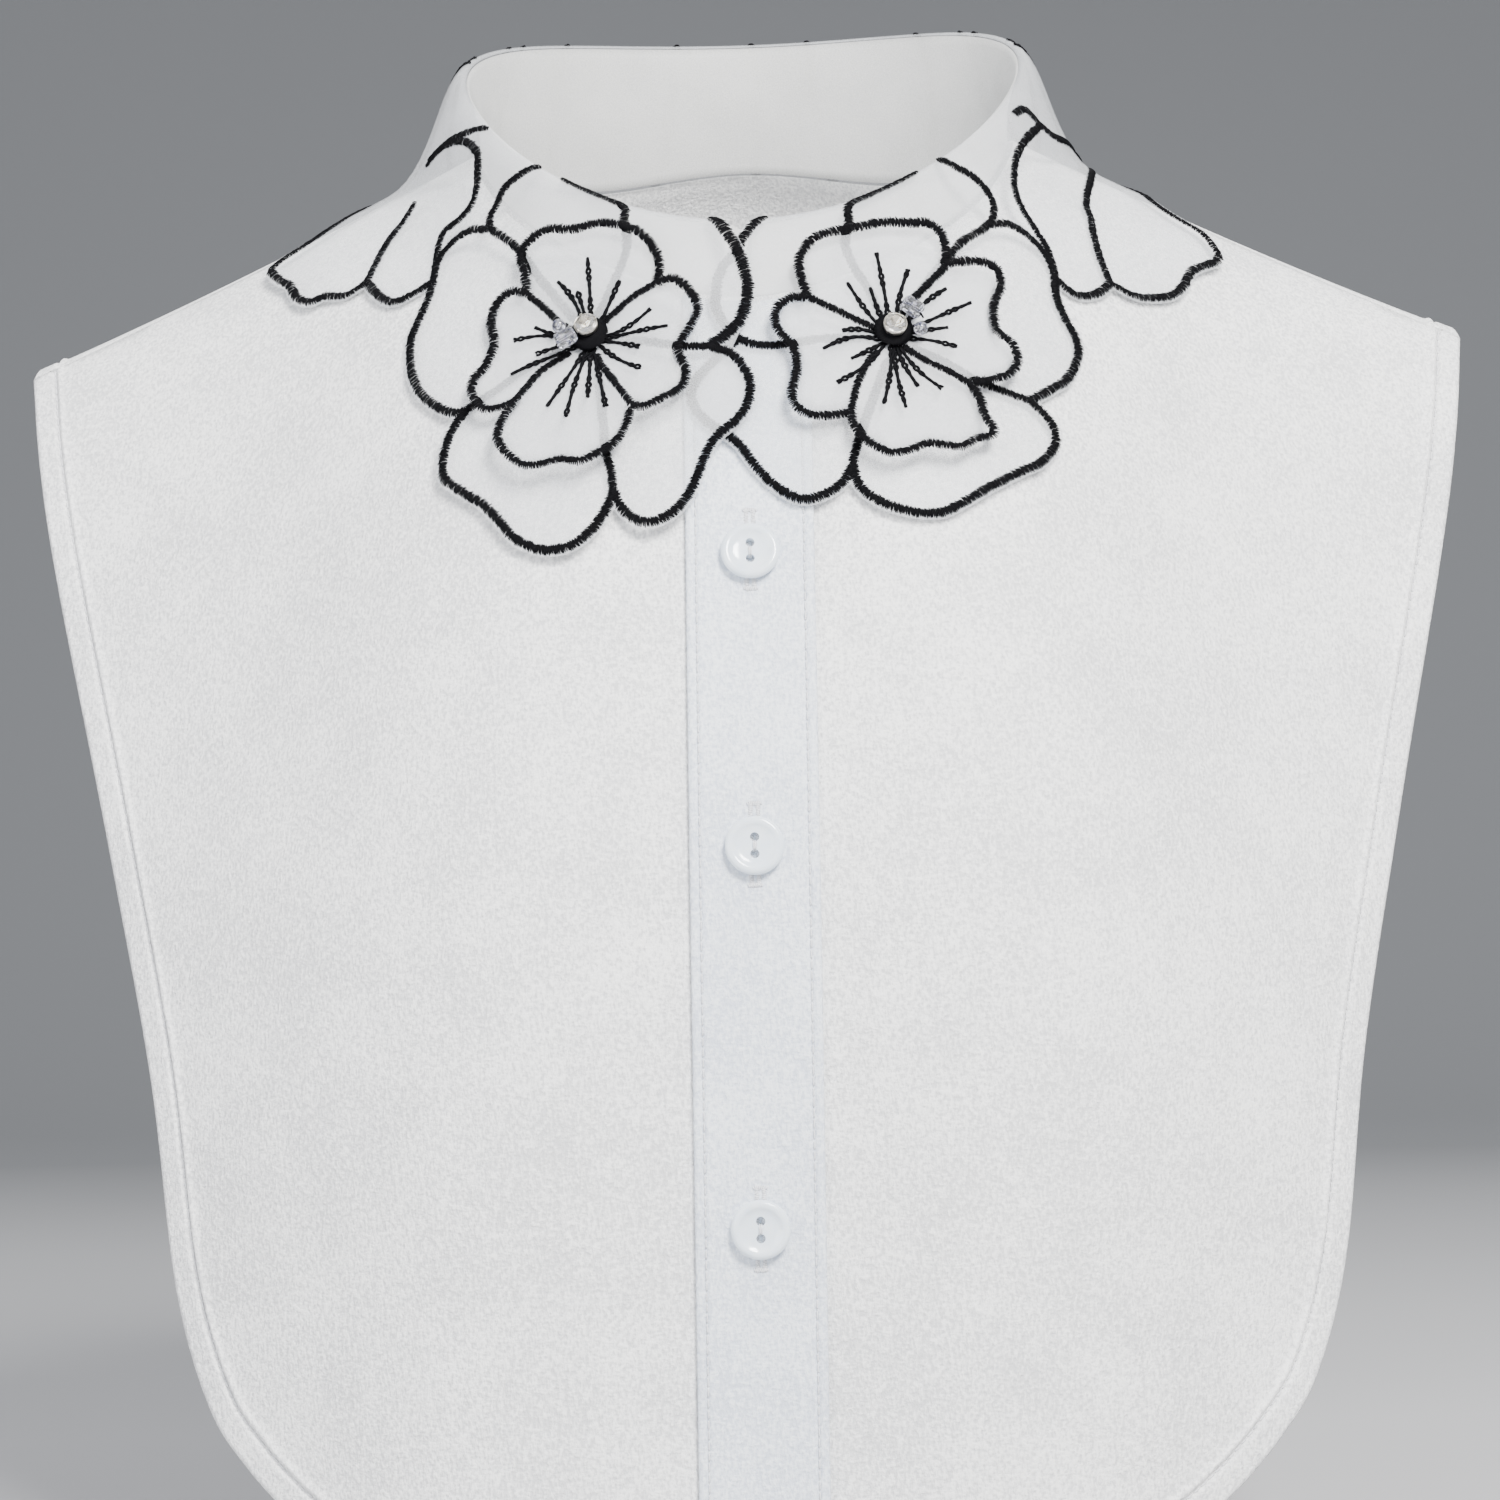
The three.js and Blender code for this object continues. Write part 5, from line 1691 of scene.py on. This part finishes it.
settle(frontLeft, crepe, "crepe", "front_left")
settle(frontRight, crepe, "crepe", "front_right")
settle(back, crepe, "crepe", "back")
settle(placket, placketCrepe, "crepe", "placket")
settle(band, bandOrganzaPaintedShade, "organza", "neck_band")
settle(leaf, organza, "organza", "collar_leaf")
for obj in (hemLeft, hemRight, hemBack, placketStitches, buttonholes):
    settle(obj, whiteThread, "crepe")
for obj in (edgeLeft, edgeRight, edgeBack, linesLeft, linesRight, *stitches["left"], *stitches["right"]):
    settle(obj, blackThread, "thread")
for side in flowers:
    settle(flowers[side]["obj"], organza, "organza", "flower_" + side)
    settle(pads[side][0], blackThread, "thread", "flower_centre_" + side)
    settle(pads[side][1], blackThread, "thread")
    stone, foil, cup = stones[side]
    settle(stone, cutGlass, "crystal", "stone_" + side)
    settle(foil, foilMetal, "crystal")
    settle(cup, cupMetal, "crystal")
    tube, tubeThread = tubeBeads[side]
    settle(tube, beadGlass, "glass_bead", "tube_bead_" + side)
    settle(tubeThread, blackThread, "thread")
    settle(roundBeads[side], beadGlass, "glass_bead", "round_bead_" + side)
for name, (button, tied) in buttons.items():
    settle(button, buttonPlastic, "plastic", name)
    settle(tied, whiteThread, "plastic")


# Floor, backdrop and lights, in metres
studio = {
    "floor": -0.345,              # height
    "half": 3.5,                  # half the floor's width, and how far it runs to the front
    "wall": 2.2,                  # how far behind the part it stands
    "wallTop": 3.2,
    "bend": 0.9,                  # radius from the floor up into the wall
    "steps": 16,
}


def makeStage():
    # a floor that curves up into the wall behind
    bm = bmesh.new()
    floor, half, wall, bend = studio["floor"], studio["half"], studio["wall"], studio["bend"]
    profile = [(-half, floor), (wall - bend, floor)]
    for k in range(1, studio["steps"] + 1):
        angle = k / studio["steps"] * math.pi / 2
        profile.append((wall - bend + bend * math.sin(angle), floor + bend * (1 - math.cos(angle))))
    profile.append((wall, studio["wallTop"]))
    verts = [bm.verts.new((-half, y, z)) for y, z in profile]
    edges = [bm.edges.new(pair) for pair in zip(verts, verts[1:])]
    made = bmesh.ops.extrude_edge_only(bm, edges=edges)["geom"]
    bmesh.ops.translate(bm, vec=(2 * half, 0, 0),
                        verts=[g for g in made if isinstance(g, bmesh.types.BMVert)])
    bmesh.ops.recalc_face_normals(bm, faces=bm.faces)
    sweep = toObject("studio_sweep", bm)
    material, tree, shader, at = newMaterial("paleSweep")
    split = tree.nodes.new("ShaderNodeSeparateXYZ")
    tree.links.new(at, split.inputs[0])
    patchy = calc(tree, "MULTIPLY", noise(tree, at, 2.0, 2, 0.5), 0.1)
    away = calc(tree, "MULTIPLY", calc(tree, "ADD", split.outputs["Y"], -0.3), 0.55)
    ramp(tree, calc(tree, "ADD", away, patchy), [(0.0, (0.42, 0.42, 0.43)), (0.5, (0.14, 0.145, 0.152))],
         shader.inputs["Base Color"])
    shader.inputs["Roughness"].default_value = 0.9
    sweep.data.materials.append(material)


def addLight(name, place, target, size, power, colour):
    data = bpy.data.lights.new(name, "AREA")
    data.shape = "DISK"
    data.size = size
    data.energy = power
    data.color = colour
    light = bpy.data.objects.new(name, data)
    bpy.context.scene.collection.objects.link(light)
    place, target = Vector(place), Vector(target)
    aim = (target - place).to_track_quat("-Z", "Y").to_matrix().to_4x4()
    light.matrix_world = Matrix.Translation(place) @ aim


makeStage()
addLight("keyLight", (0.6, -1.45, 1.15), (0, 0, -0.1), 0.7, 102, (1, 0.99, 0.97))
addLight("fillLight", (-1.3, -1.4, 0.2), (0, 0, -0.15), 1.4, 23, (0.95, 0.97, 1))
addLight("rearLight", (0.2, 1.3, 1.3), (0, 0, -0.1), 1.2, 18, (1, 1, 1))
world = bpy.data.worlds.new("studio")
bpy.context.scene.world = world
world.use_nodes = True
world.node_tree.nodes["Background"].inputs["Color"].default_value = (0.93, 0.95, 1, 1)
world.node_tree.nodes["Background"].inputs["Strength"].default_value = 0.86
print("floor, backdrop and lights set")


# The pieces of cloth, as they are cut before they are sewn and worn
def cloth(obj, width, length, area, restsOn, sewnOn):
    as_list(restsOn)
    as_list(sewnOn)


cloth(frontLeft, 0.19, 0.4, 0.0506, [], [hemLeft])
cloth(frontRight, 0.2, 0.4, 0.0574, [], [hemRight])
cloth(back, 0.38, 0.33, 0.0913, [], [hemBack])
cloth(placket, 0.03, 0.315, None, [frontLeft, frontRight], [placketStitches, buttonholes])
cloth(band, 0.41, 0.027, 0.0094, [frontLeft, frontRight, back], [])
cloth(leaf, 0.63, 0.1, 0.0394, [band, frontLeft, frontRight, placket, back],
      [edgeLeft, edgeRight, edgeBack, linesLeft, linesRight])
for side, area in (("left", 0.0022), ("right", 0.0023)):
    cloth(flowers[side]["obj"], 0.062, 0.058, area, [leaf], [*stitches[side], *pads[side][:2]])
